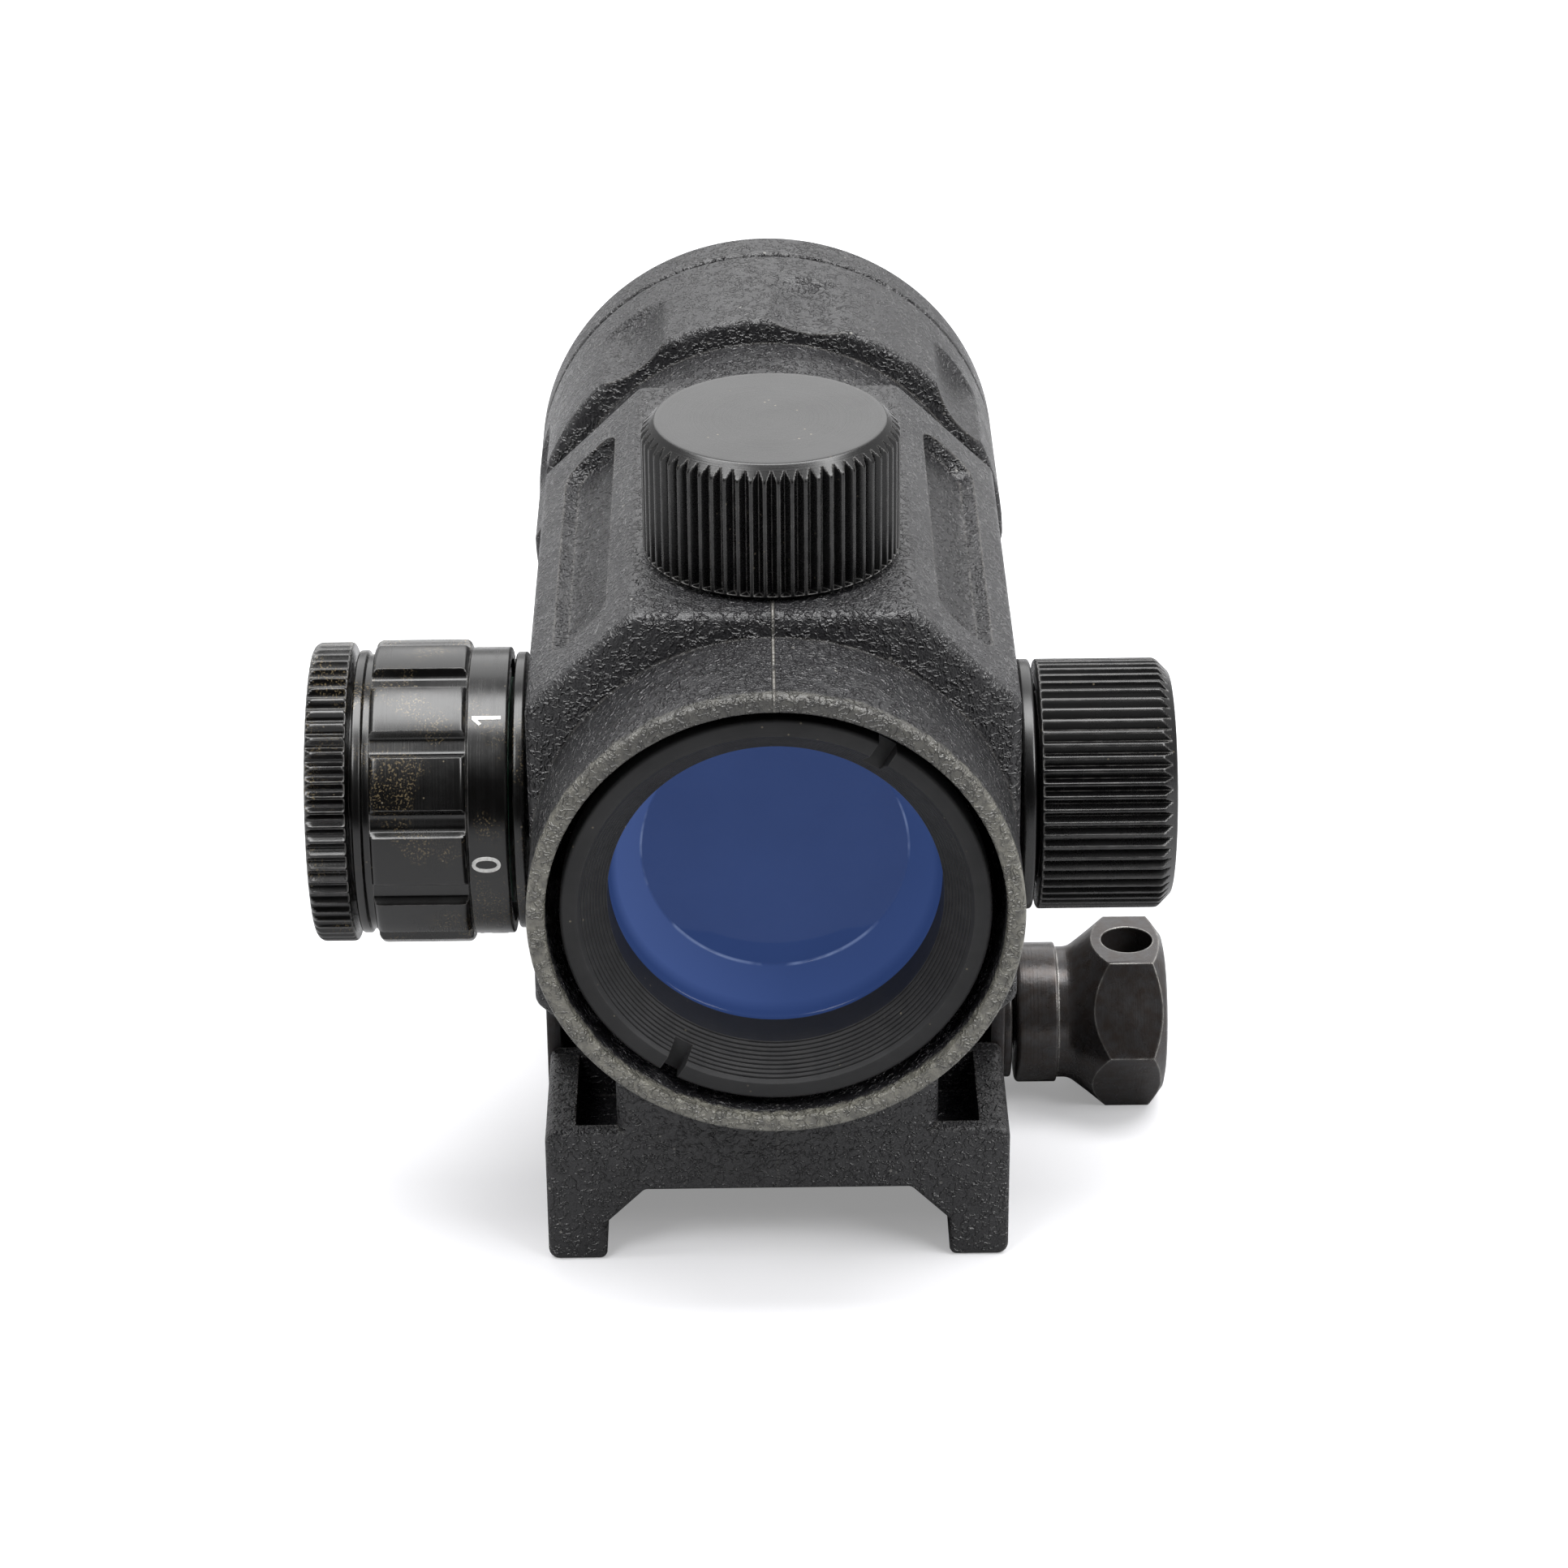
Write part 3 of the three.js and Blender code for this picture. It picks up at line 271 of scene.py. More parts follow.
def ring_of_cuts_tree():
    """Cuts the same groove again and again round a body turned about +Z."""
    tree = bpy.data.node_groups.new("ring of cuts", "GeometryNodeTree")
    add_socket(tree, "Geometry", "Body")
    add_socket(tree, "Int", "Count", 60)
    for name in ("Turn", "Radius", "Depth", "Land", "Bowl", "Low", "High", "Fade"):
        add_socket(tree, "Float", name, 1.0)
    add_socket(tree, "Material", "Finish")
    add_socket(tree, "Geometry", "Body", direction="OUTPUT")
    given = tree.nodes.new("NodeGroupInput").outputs
    result = tree.nodes.new("NodeGroupOutput").inputs

    def sum_of(operation, *values):
        return value_of(tree, operation, *values)

    split = tree.nodes.new("ShaderNodeSeparateXYZ")
    tree.links.new(tree.nodes.new("GeometryNodeInputPosition").outputs[0], split.inputs[0])
    x, y, z = split.outputs
    radius = distance_out(tree, x, y)
    turn = sum_of("SUBTRACT", sum_of("ARCTAN2", y, x), sum_of("RADIANS", given["Turn"]))
    phase = sum_of("FRACT", sum_of("MULTIPLY", sum_of("DIVIDE", turn, math.tau), given["Count"]))
    nearness = sum_of("ABSOLUTE", sum_of("SUBTRACT", sum_of("MULTIPLY", phase, 2.0), 1.0))
    inside = sum_of("SUBTRACT", nearness, given["Land"])
    inside = sum_of("MAXIMUM", sum_of("DIVIDE", inside, sum_of("SUBTRACT", 1.0, given["Land"])), 0.0)
    bowl = sum_of("SUBTRACT", 1.0, sum_of("POWER", sum_of("SUBTRACT", 1.0, inside), given["Bowl"]))
    started = sum_of("LESS_THAN", given["Low"], z)
    left = sum_of("DIVIDE", sum_of("SUBTRACT", given["High"], z), given["Fade"])
    left = sum_of("SUBTRACT", 1.0, sum_of("MINIMUM", sum_of("MAXIMUM", left, 0.0), 1.0))
    run_out = sum_of("SQRT", sum_of("SUBTRACT", 1.0, sum_of("MULTIPLY", left, left)))
    depth = sum_of("MULTIPLY", given["Depth"], sum_of("MULTIPLY", bowl, run_out))
    depth = sum_of("MULTIPLY", depth, started)
    floor = sum_of("SUBTRACT", given["Radius"], depth)
    floor = sum_of("ADD", floor, sum_of("LESS_THAN", depth, 1e-6))
    pull = sum_of("DIVIDE", sum_of("MINIMUM", radius, floor), sum_of("MAXIMUM", radius, 1e-4))
    to = tree.nodes.new("ShaderNodeCombineXYZ")
    tree.links.new(sum_of("MULTIPLY", x, pull), to.inputs[0])
    tree.links.new(sum_of("MULTIPLY", y, pull), to.inputs[1])
    tree.links.new(z, to.inputs[2])
    moved = tree.nodes.new("GeometryNodeSetPosition")
    tree.links.new(given["Body"], moved.inputs["Geometry"])
    tree.links.new(to.outputs[0], moved.inputs["Position"])
    real = tree.nodes.new("GeometryNodeRealizeInstances")
    tree.links.new(moved.outputs[0], real.inputs[0])
    finish = tree.nodes.new("GeometryNodeSetMaterial")
    tree.links.new(real.outputs[0], finish.inputs["Geometry"])
    tree.links.new(given["Finish"], finish.inputs["Material"])
    tree.links.new(finish.outputs[0], result[0])
    return tree


ring_of_cuts = ring_of_cuts_tree()


def grooved(made, material, count, turn, radius, depth, land, bowl, low, high, fade):
    """A turned body with a ring of grooves cut into it."""
    wanted = {
        "Count": count, "Turn": float(turn), "Radius": float(radius), "Depth": float(depth),
        "Land": float(land), "Bowl": float(bowl), "Low": float(low), "High": float(high),
        "Fade": float(fade), "Finish": material,
    }
    step = made.modifiers.new("grooves", "NODES")
    step.node_group = ring_of_cuts
    for entry in ring_of_cuts.interface.items_tree:
        if entry.in_out == "INPUT" and entry.name in wanted:
            step[entry.identifier] = wanted[entry.name]
    return plain(made)


def new_effect(name, entries, results):
    """A shader node group, with its named inputs and outputs."""
    tree = bpy.data.node_groups.new(name, "ShaderNodeTree")
    for label, kind, default in entries:
        add_socket(tree, kind, label, default)
    for label in results:
        add_socket(tree, "Float", label, direction="OUTPUT")
    return tree, tree.nodes.new("NodeGroupInput").outputs, tree.nodes.new("NodeGroupOutput").inputs


def clouds(tree, vector, scale, detail=3.0, coarse=0.55):
    """Noise at so many cells a millimetre."""
    node = tree.nodes.new("ShaderNodeTexNoise")
    tree.links.new(vector, node.inputs["Vector"])
    node.inputs["Scale"].default_value = scale
    node.inputs["Detail"].default_value = detail
    node.inputs["Roughness"].default_value = coarse
    return node.outputs["Fac"]


def grain_effect():
    """The leathery grain of a textured mould: raised worms over fine pitting."""
    tree, given, result = new_effect(
        "mould grain", [("Vector", "Vector", None), ("Size", "Float", 0.45)], ["Height", "Raised"])
    scaled = tree.nodes.new("ShaderNodeVectorMath")
    scaled.operation = "SCALE"
    tree.links.new(given["Vector"], scaled.inputs[0])
    tree.links.new(value_of(tree, "DIVIDE", 1.0, given["Size"]), scaled.inputs["Scale"])
    warp = tree.nodes.new("ShaderNodeTexNoise")
    tree.links.new(scaled.outputs[0], warp.inputs["Vector"])
    warp.inputs["Scale"].default_value = 0.8
    bend = tree.nodes.new("ShaderNodeVectorMath")
    bend.operation = "MULTIPLY_ADD"
    tree.links.new(warp.outputs["Color"], bend.inputs[0])
    bend.inputs[1].default_value = (1.4, 1.4, 1.4)
    tree.links.new(scaled.outputs[0], bend.inputs[2])
    level = value_of(tree, "SUBTRACT", clouds(tree, bend.outputs[0], 1.0, 1.0), 0.5)
    worms = between(tree, value_of(tree, "ABSOLUTE", level), 0.085, 0.01)
    gaps = between(tree, clouds(tree, scaled.outputs[0], 0.6, 1.0), 0.36, 0.52)
    raised = value_of(tree, "MULTIPLY", worms, gaps)
    pits = clouds(tree, scaled.outputs[0], 3.6, 2.0)
    height = value_of(tree, "MULTIPLY_ADD", pits, 0.45, value_of(tree, "MULTIPLY", raised, 0.75))
    tree.links.new(height, result["Height"])
    tree.links.new(raised, result["Raised"])
    return tree


def wear_effect():
    """A mask of worn outer edges, broken up where hands and cloth have missed them."""
    tree, given, result = new_effect(
        "edge wear",
        [("Vector", "Vector", None), ("Width", "Float", 0.2), ("Patchiness", "Float", 0.6)],
        ["Worn"])
    rounding = tree.nodes.new("ShaderNodeBevel")
    rounding.samples = 6
    tree.links.new(value_of(tree, "MULTIPLY", given["Width"], MM), rounding.inputs["Radius"])
    surface = tree.nodes.new("ShaderNodeNewGeometry")
    dot = tree.nodes.new("ShaderNodeVectorMath")
    dot.operation = "DOT_PRODUCT"
    tree.links.new(rounding.outputs[0], dot.inputs[0])
    tree.links.new(surface.outputs["Normal"], dot.inputs[1])
    edge = between(tree, dot.outputs["Value"], 0.995, 0.88)
    missed = between(tree, clouds(tree, given["Vector"], 0.9, 4.0), 0.38, 0.62)
    kept = value_of(tree, "SUBTRACT", 1.0, value_of(tree, "MULTIPLY", given["Patchiness"], missed))
    tree.links.new(value_of(tree, "MULTIPLY", edge, kept), result["Worn"])
    return tree


def dust_effect():
    """A mask of stray specks of lint and dust."""
    tree, given, result = new_effect(
        "dust",
        [("Vector", "Vector", None), ("Size", "Float", 1.0), ("Amount", "Float", 0.5)],
        ["Specks"])
    cells = tree.nodes.new("ShaderNodeTexVoronoi")
    tree.links.new(given["Vector"], cells.inputs["Vector"])
    tree.links.new(value_of(tree, "DIVIDE", 1.0, given["Size"]), cells.inputs["Scale"])
    speck = between(tree, cells.outputs["Distance"], 0.10, 0.06)
    rare = between(tree, clouds(tree, given["Vector"], 0.35, 1.0), 0.52, 0.60)
    both = value_of(tree, "MULTIPLY", speck, rare)
    tree.links.new(value_of(tree, "MULTIPLY", both, given["Amount"]), result["Specks"])
    return tree


def smudge_effect():
    """Slow changes of gloss, as handling and mould release leave."""
    tree, given, result = new_effect(
        "smudges",
        [("Vector", "Vector", None), ("Glossy", "Float", 0.4), ("Dull", "Float", 0.6)],
        ["Roughness"])
    patches = between(tree, clouds(tree, given["Vector"], 0.22, 5.0, 0.6), 0.35, 0.65)
    span = value_of(tree, "SUBTRACT", given["Dull"], given["Glossy"])
    tree.links.new(value_of(tree, "MULTIPLY_ADD", patches, span, given["Glossy"]), result["Roughness"])
    return tree


mould_grain = grain_effect()
edge_wear = wear_effect()
dust = dust_effect()
smudges = smudge_effect()


class Finish:
    """A material in the making, with its coordinates in millimetres about a chosen axis."""

    TURNS = {"Z": (0, 0, 0), "X": (0, -math.pi / 2, 0), "Y": (math.pi / 2, 0, 0)}

    def __init__(self, name, roughness=0.5, metallic=0.0, specular=0.5, axis="Z", centre=(0, 0, 0)):
        self.material = bpy.data.materials.new(name)
        self.material.use_nodes = True
        self.tree = self.material.node_tree
        self.shader = self.tree.nodes["Principled BSDF"]
        self.shader.inputs["Roughness"].default_value = roughness
        self.shader.inputs["Metallic"].default_value = metallic
        self.shader.inputs["Specular IOR Level"].default_value = specular
        place = self.tree.nodes.new("ShaderNodeTexCoord")
        mapping = self.tree.nodes.new("ShaderNodeMapping")
        mapping.inputs["Scale"].default_value = (1 / MM, 1 / MM, 1 / MM)
        mapping.inputs["Rotation"].default_value = self.TURNS[axis]
        mapping.inputs["Location"].default_value = centre
        self.tree.links.new(place.outputs["Object"], mapping.inputs["Vector"])
        self.vector = mapping.outputs["Vector"]

    def effect(self, group, **values):
        node = self.tree.nodes.new("ShaderNodeGroup")
        node.node_tree = group
        self.tree.links.new(self.vector, node.inputs["Vector"])
        for name, value in values.items():
            node.inputs[name].default_value = value
        return node.outputs

    def blend(self, mask, first, second):
        """The first colour where the mask is 0, the second where it is 1."""
        node = self.tree.nodes.new("ShaderNodeMix")
        node.data_type = "RGBA"
        self.tree.links.new(mask, node.inputs[0])
        for entry, colour in ((node.inputs[6], first), (node.inputs[7], second)):
            if isinstance(colour, tuple):
                entry.default_value = (*colour, 1)
            else:
                self.tree.links.new(colour, entry)
        return node.outputs[2]

    def sum_of(self, operation, *values):
        return value_of(self.tree, operation, *values)

    def clouds(self, scale, detail=3.0):
        return clouds(self.tree, self.vector, scale, detail)

    def between(self, source, start, end):
        return between(self.tree, source, start, end)

    def parts_of_place(self):
        split = self.tree.nodes.new("ShaderNodeSeparateXYZ")
        self.tree.links.new(self.vector, split.inputs[0])
        return split.outputs

    def soft_edges(self, radius):
        node = self.tree.nodes.new("ShaderNodeBevel")
        node.samples = 6
        node.inputs["Radius"].default_value = radius * MM
        return node.outputs[0]

    def relief(self, height, depth, under=None):
        node = self.tree.nodes.new("ShaderNodeBump")
        node.inputs["Distance"].default_value = depth * MM
        self.tree.links.new(height, node.inputs["Height"])
        if under is not None:
            self.tree.links.new(under, node.inputs["Normal"])
        return node.outputs["Normal"]

    def set(self, colour=None, roughness=None, normal=None):
        for name, source in (("Base Color", colour), ("Roughness", roughness), ("Normal", normal)):
            if source is not None:
                self.tree.links.new(source, self.shader.inputs[name])
        return self.material


eye_rim = corners("housing")[0].y


def rim_wear(finish):
    """A mask of the pale wear round the eye rim, ragged inwards, and made heavier low down by painted
    light.
    """
    x, y, z = finish.parts_of_place()
    ragged = finish.sum_of("MULTIPLY_ADD", finish.clouds(1.1, 3.0), 1.2, y)
    rim = finish.between(ragged, eye_rim + 1.45, eye_rim + 1.15)
    scuffs = finish.between(finish.clouds(1.6, 5.0), 0.34, 0.60)
    # painted light: the pale band is made stronger low on the rim and fainter towards its top
    lower = finish.between(z, axis_height + 13.0, axis_height + 4.0)
    rim = finish.sum_of("MULTIPLY", rim, finish.sum_of("MULTIPLY_ADD", scuffs, 0.6, 0.4))
    return finish.sum_of("MULTIPLY", rim, finish.sum_of("MULTIPLY_ADD", lower, 0.7, 0.3))


def parting_line(finish):
    """A mask of the trimmed line where the mould's halves met, broken, and faint below the axis."""
    seam_end = 20.0
    x, y, z = finish.parts_of_place()
    seam = finish.between(finish.sum_of("ABSOLUTE", x), 0.13, 0.05)
    seam = finish.sum_of("MULTIPLY", seam, finish.between(finish.clouds(0.5), 0.32, 0.50))
    seam = finish.sum_of("MULTIPLY", seam, finish.between(y, seam_end + 1, seam_end - 1))
    upper = finish.between(z, axis_height, axis_height + 8.0)
    return finish.sum_of("MULTIPLY", seam, finish.sum_of("MULTIPLY_ADD", upper, 0.85, 0.15))


def moulded_nylon(name, seamed):
    """Black glass-filled nylon with mould grain, pale worn edges and lint; its raised grain is drawn
    paler, partly rubbed and partly a painted sheen. A housing has its seam, and pale wear round its eye
    rim with painted light that makes it stronger low down.
    """
    black = (0.0060, 0.0058, 0.0070)
    paler_black = (0.0095, 0.0091, 0.0106)
    rubbed_and_sheen_grain_top = (0.026, 0.025, 0.027)
    rubbed = (0.110, 0.102, 0.092)
    scuffed_and_painted_light = (0.150, 0.145, 0.122)
    trimmed = (0.24, 0.23, 0.21)
    lint = (0.28, 0.27, 0.25)
    finish = Finish(name, specular=0.7)
    grain = finish.effect(mould_grain, Size=0.50)
    worn = finish.effect(edge_wear, Width=0.3, Patchiness=0.75)["Worn"]
    specks = finish.effect(dust, Size=1.3, Amount=0.5)["Specks"]
    patches = finish.between(finish.clouds(0.35, 4.0), 0.3, 0.7)
    colour = finish.blend(patches, black, paler_black)
    # raised grain tops drawn paler: partly rubbed, partly a painted sheen
    colour = finish.blend(finish.sum_of("MULTIPLY", grain["Raised"], 0.6), colour, rubbed_and_sheen_grain_top)
    colour = finish.blend(finish.sum_of("MULTIPLY", worn, 0.55), colour, rubbed)
    height = grain["Height"]
    if seamed:
        # pale wear round the eye rim, partly painted light that is stronger low down
        colour = finish.blend(rim_wear(finish), colour, scuffed_and_painted_light)
        seam = parting_line(finish)
        colour = finish.blend(finish.sum_of("MULTIPLY", seam, 0.6), colour, trimmed)
        height = finish.sum_of("MULTIPLY_ADD", seam, 1.3, height)
    colour = finish.blend(specks, colour, lint)
    rough = finish.effect(smudges, Glossy=0.29, Dull=0.42)["Roughness"]
    rough = finish.sum_of("MULTIPLY_ADD", grain["Raised"], -0.12, rough)
    return finish.set(colour, rough, finish.relief(height, 0.21, finish.soft_edges(0.18)))


def finished(made, body, material=None, nodes=(), sharp=32):
    """A piece made in millimetres, brought to metres, shaded and fixed to its body."""
    mesh = made.data
    mesh.transform(Matrix.Scale(MM, 4))
    if material:
        mesh.materials.clear()
        mesh.materials.append(material)
        mesh.polygons.foreach_set("material_index", [0] * len(mesh.polygons))
    mesh.polygons.foreach_set("use_smooth", [True] * len(mesh.polygons))
    mesh.set_sharp_from_angle(angle=math.radians(sharp))
    mesh.update()
    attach(made, body)
    if nodes:
        made.name = f"{nodes[0]}_surface"
        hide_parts(*nodes)
    return made


housing_low, housing_high = corners("housing")
ring_low, ring_high = corners("eyepiece_ring")
axis_height = (ring_low.z + ring_high.z) / 2
bore = ring_high.x + 0.85
eye_tube = bore + 1.1
block_front = eye_rim + 7.7
block_end = block_front + 35
block_half_width = bore + 1.15
block_half_height = bore + 2.6
block_top_half = 8.4
chamfer_drop = 6.1
neck = bore + 0.9
bell = housing_high.x
bell_start = block_end + 11.2
bell_end = corners("bell_ring")[0].y - 0.3
flute_depth = 0.75
flute_end = bell_start + 8.2
spigot = bore + 1.1
spigot_end = bell_end + 1.8
base_end = block_front + 41.6
foot = housing_low.z
leg_outer = 14.5
rail_half = 10.8
seat_half = 8.35
shoulder = 4.3
shoulder_length = 10.4
web_half = 10.0
block_floor = axis_height - block_half_height
panel_length = 27
panel_width = 4.45
panel_corner = 1.6
panel_depth = 1.0
buried = 2

nylon = moulded_nylon("moulded nylon, seamed", True)


def mirrored(right):
    return right + [(-point[0], *point[1:]) for point in reversed(right)]


def barrel():
    """The eye tube, neck and fluted bell as one turned body, with no bore yet."""
    path = stepped(rounded([
        (0, eye_rim),
        (eye_tube, eye_rim, 0.35),
        (eye_tube, block_front + buried),
        (neck, block_end - buried),
        (neck, bell_start),
        (bell, bell_start, 0.45),
        (bell, bell_end, 0.3),
        (spigot, bell_end),
        (spigot, spigot_end, 0.2),
        (0, spigot_end),
    ]), 0.4)
    body = grooved(
        turned("housing", path, 400), nylon, count=8, turn=-80, radius=bell, depth=flute_depth,
        land=0.58, bowl=2.0, low=bell_start - 1, high=flute_end, fade=2.6)
    return placed(body, along_y(0, 0, axis_height))


def block():
    """The eight-sided block that carries the adjusters, with a panel sunk in each upper chamfer."""
    low = block_half_height - chamfer_drop
    outline = rounded([(x, z + axis_height, 0.9) for x, z in mirrored([
        (block_top_half, -block_half_height),
        (block_half_width, -low),
        (block_half_width, low),
        (block_top_half, block_half_height),
    ])])
    body = prism("block", outline, block_front, block_end, 0.55)
    slope = math.atan2(chamfer_drop, block_half_width - block_top_half)
    middle_x = (block_top_half + block_half_width) / 2
    middle_z = axis_height + block_half_height - chamfer_drop / 2
    for side in (1, -1):
        cut(body, placed(
            panel_plug(),
            Matrix.Translation((side * middle_x, (block_front + block_end) / 2, middle_z)),
            Matrix.Rotation(side * slope, 4, "Y")))
    return body


def panel_plug():
    """What sinks one panel: its walls slope in, and a fillet runs round its floor."""
    form = bmesh.new()
    layers = [
        (0.2, 1.0),
        (0.2, 0.06),
        (0.06, 0.0),
        (-0.1, -0.5 * panel_depth),
        (-0.3, -0.88 * panel_depth),
        (-0.65, -panel_depth),
    ]
    outlines = []
    for grow, height in layers:
        half_x, half_y = panel_width / 2 + grow, panel_length / 2 + grow
        round_off = panel_corner + grow
        outline = rounded([
            (-half_x, -half_y, round_off),
            (half_x, -half_y, round_off),
            (half_x, half_y, round_off),
            (-half_x, half_y, round_off),
        ], steps=8)
        outlines.append([form.verts.new((x, y, height)) for x, y in outline])
    for upper, lower in zip(outlines, outlines[1:]):
        for k in range(len(upper)):
            on = (k + 1) % len(upper)
            form.faces.new((upper[k], upper[on], lower[on], lower[k]))
    form.faces.new(outlines[0])
    form.faces.new(outlines[-1])
    return put(form, "panel")


def rail_base():
    """Two legs with the rail's channel between them, under the web."""
    legs = prism("legs", rounded(mirrored([
        (seat_half, 0, 0.45),
        (rail_half, seat_half - rail_half, 0.5),
        (rail_half, foot, 0.45),
        (leg_outer, foot, 0.7),
        (leg_outer, shoulder, 0.7),
    ])), block_front, base_end, 0.35)
    web = prism("web", rounded(mirrored([
        (web_half, shoulder - 1),
        (web_half, block_floor + 1),
        (block_top_half, block_floor + chamfer_drop),
    ])), block_front, base_end, 0.9)
    body = joined(legs, web)
    for side in (1, -1):
        near, far = sorted((side * web_half, side * (leg_outer + 1)))
        cut(body, slab(
            "gap",
            (near, block_front + shoulder_length, foot - 1),
            (far, base_end - shoulder_length, shoulder + 1)))
        near, far = sorted((side * web_half, side * (leg_outer - 1.9)))
        for start in (block_front, base_end - shoulder_length):
            cut(body, slab(
                "core",
                (near, start + 1, shoulder - 3),
                (far, start + shoulder_length - 1, shoulder + 1)))
    return body


def bore_plug():
    """What the bore takes out, flared to leave the rim's inner edge round."""
    lip = eye_rim - 0.002
    return turned("bore", rounded([
        (0, eye_rim - 1),
        (bore + 0.3, eye_rim - 1),
        (bore + 0.3, lip),
        (bore, lip, 0.15),
        (bore, spigot_end + 3.2),
        (0, spigot_end + 3.2),
    ]))


bolt_low, bolt_high = corners("cross_bolt")
bolt_y = (bolt_low.y + bolt_high.y) / 2
bolt_z = (bolt_low.z + bolt_high.z) / 2
gimbal_low, gimbal_high = corners("pivot_ring")
gimbal_y = (gimbal_low.y + gimbal_high.y) / 2
pin_hole = 1.2
bush_hole = 4.7
spindle_hole = 3.3
bolt_hole = 2.4


def housing():
    """The moulding, bored along its length, with holes for the adjusters, dial, gimbal and bolt."""
    return cut(
        joined(block(), barrel(), rail_base()),
        placed(bore_plug(), along_y(0, 0, axis_height)),
        placed(hole(pin_hole, -bore - 1.5, bore + 1.5), Matrix.Translation((0, gimbal_y, axis_height))),
        placed(hole(bush_hole, 0, block_half_height + 1), Matrix.Translation((0, 0, axis_height))),
        placed(hole(bush_hole, 0, block_half_width + 1), along_x(0, 0, axis_height)),
        placed(hole(spindle_hole, -block_half_width - 1, 0), along_x(0, 0, axis_height)),
        placed(hole(bolt_hole, -leg_outer - 1, leg_outer + 1), along_x(0, bolt_y, bolt_z)),
    )


finished(housing(), "housing", nylon, ["housing"], sharp=40)

# ---------------------------------------------------------------------------
# Bell ring
# The hood at the far end is a separate nylon ring, pushed over the housing's
# spigot and bonded, so a fine dark joint runs round the bell.
# ---------------------------------------------------------------------------
hood_low, hood_high = corners("bell_ring")
hood_bore = bell - 1.7

finished(
    placed(
        turned("bell_ring", rounded([
            (spigot + 0.3, hood_low.y),
            (bell, hood_low.y, 0.25),
            (bell, hood_high.y, 0.7),
            (hood_bore, hood_high.y, 0.3),
            (hood_bore, spigot_end + 0.3),
            (spigot + 0.3, spigot_end + 0.3),
        ])),
        along_y(0, 0, axis_height)),
    "housing", moulded_nylon("moulded nylon, plain", False), ["bell_ring"])

# ---------------------------------------------------------------------------
# Optic tube
# A thin aluminium tube, anodised matt black inside, that tilts on a ring of
# pins near the bell. It carries a lens and a threaded retaining ring at each end.
# ---------------------------------------------------------------------------


def lines_effect():
    """The fine lines that a lathe tool leaves, round the axis of the coordinates."""
    tree, given, result = new_effect(
        "turned lines", [("Vector", "Vector", None), ("Pitch", "Float", 0.1)], ["Height"])
    split = tree.nodes.new("ShaderNodeSeparateXYZ")
    tree.links.new(given["Vector"], split.inputs[0])
    x, y, z = split.outputs
    radius = distance_out(tree, x, y)
    along = tree.nodes.new("ShaderNodeCombineXYZ")
    tree.links.new(value_of(tree, "DIVIDE", radius, given["Pitch"]), along.inputs[0])
    tree.links.new(value_of(tree, "DIVIDE", z, given["Pitch"]), along.inputs[1])
    tree.links.new(clouds(tree, along.outputs[0], 1.0, 2.0), result["Height"])
    return tree


turned_lines = lines_effect()
sight_axis = {"axis": "Y", "centre": (0, axis_height, 0)}


def black_metal(name, colour, glossy, dull, wear=0.5, flecked=0.0, **axis):
    """Black anodised aluminium with the lathe's lines showing through and its edges rubbed paler."""
    rubbed, lint, brown_fleck = (0.17, 0.165, 0.16), (0.20, 0.17, 0.12), (0.13, 0.10, 0.055)
    finish = Finish(name, specular=0.55, **axis)
    lines = finish.effect(turned_lines, Pitch=0.09)["Height"]
    worn = finish.effect(edge_wear, Width=0.12, Patchiness=0.8)["Worn"]
    specks = finish.effect(dust, Size=0.8, Amount=0.45)["Specks"]
    darker = tuple(0.72 * part for part in colour)
    shade = finish.blend(finish.between(finish.clouds(0.8, 4.0), 0.35, 0.65), colour, darker)
    shade = finish.blend(finish.sum_of("MULTIPLY", worn, wear), shade, rubbed)
    shade = finish.blend(specks, shade, lint)
    flecks = finish.between(finish.clouds(7.0, 3.0), 0.55, 0.64)
    flecks = finish.sum_of("MULTIPLY", flecks, finish.between(finish.clouds(0.30, 2.0), 0.50, 0.62))
    shade = finish.blend(finish.sum_of("MULTIPLY", flecks, flecked), shade, brown_fleck)
    rough = finish.effect(smudges, Glossy=glossy, Dull=dull)["Roughness"]
    rough = finish.sum_of("MULTIPLY_ADD", finish.between(lines, 0.3, 0.7), 0.06, rough)
    return finish.set(shade, rough, finish.relief(lines, 0.004, finish.soft_edges(0.07)))


def dress(material, *nodes):
    """A CAD node that stays as it is takes the finish."""
    for name in nodes:
        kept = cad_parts[name].data.materials
        kept.clear()
        kept.append(material)


matt_black = black_metal("matt black inside", (0.0055, 0.0055, 0.0065), 0.62, 0.74, 0.15, **sight_axis)
dress(matt_black, "inner_tube", "pivot_ring")

lens_low, lens_high = corners("eyepiece_lens")
sleeve = lens_high.x
ring_bore = sleeve - 0.6
ring_outer = ring_high.x
mouth = ring_outer - 1.15
ring_face = ring_low.y
flange_end = ring_face + 1.8
cone_end = ring_face + 2.1
baffle_count = 9
baffle_depth = 0.14
spanner_slot_half = 0.6
spanner_slot_depth = 1.1
spanner_slot_turn = math.radians(-59)


def baffles():
    """The stepped cone that kills stray light, as points from the mouth inwards."""
    start, end = Vector((mouth, ring_face + 0.12)), Vector((ring_bore, cone_end))
    outward = Vector((end.y - start.y, start.x - end.x)).normalized()
    points = []
    for i in range(baffle_count):
        near, far = start.lerp(end, i / baffle_count), start.lerp(end, (i + 0.55) / baffle_count)
        points += [near, far, far + outward * baffle_depth]
    return points + [end]


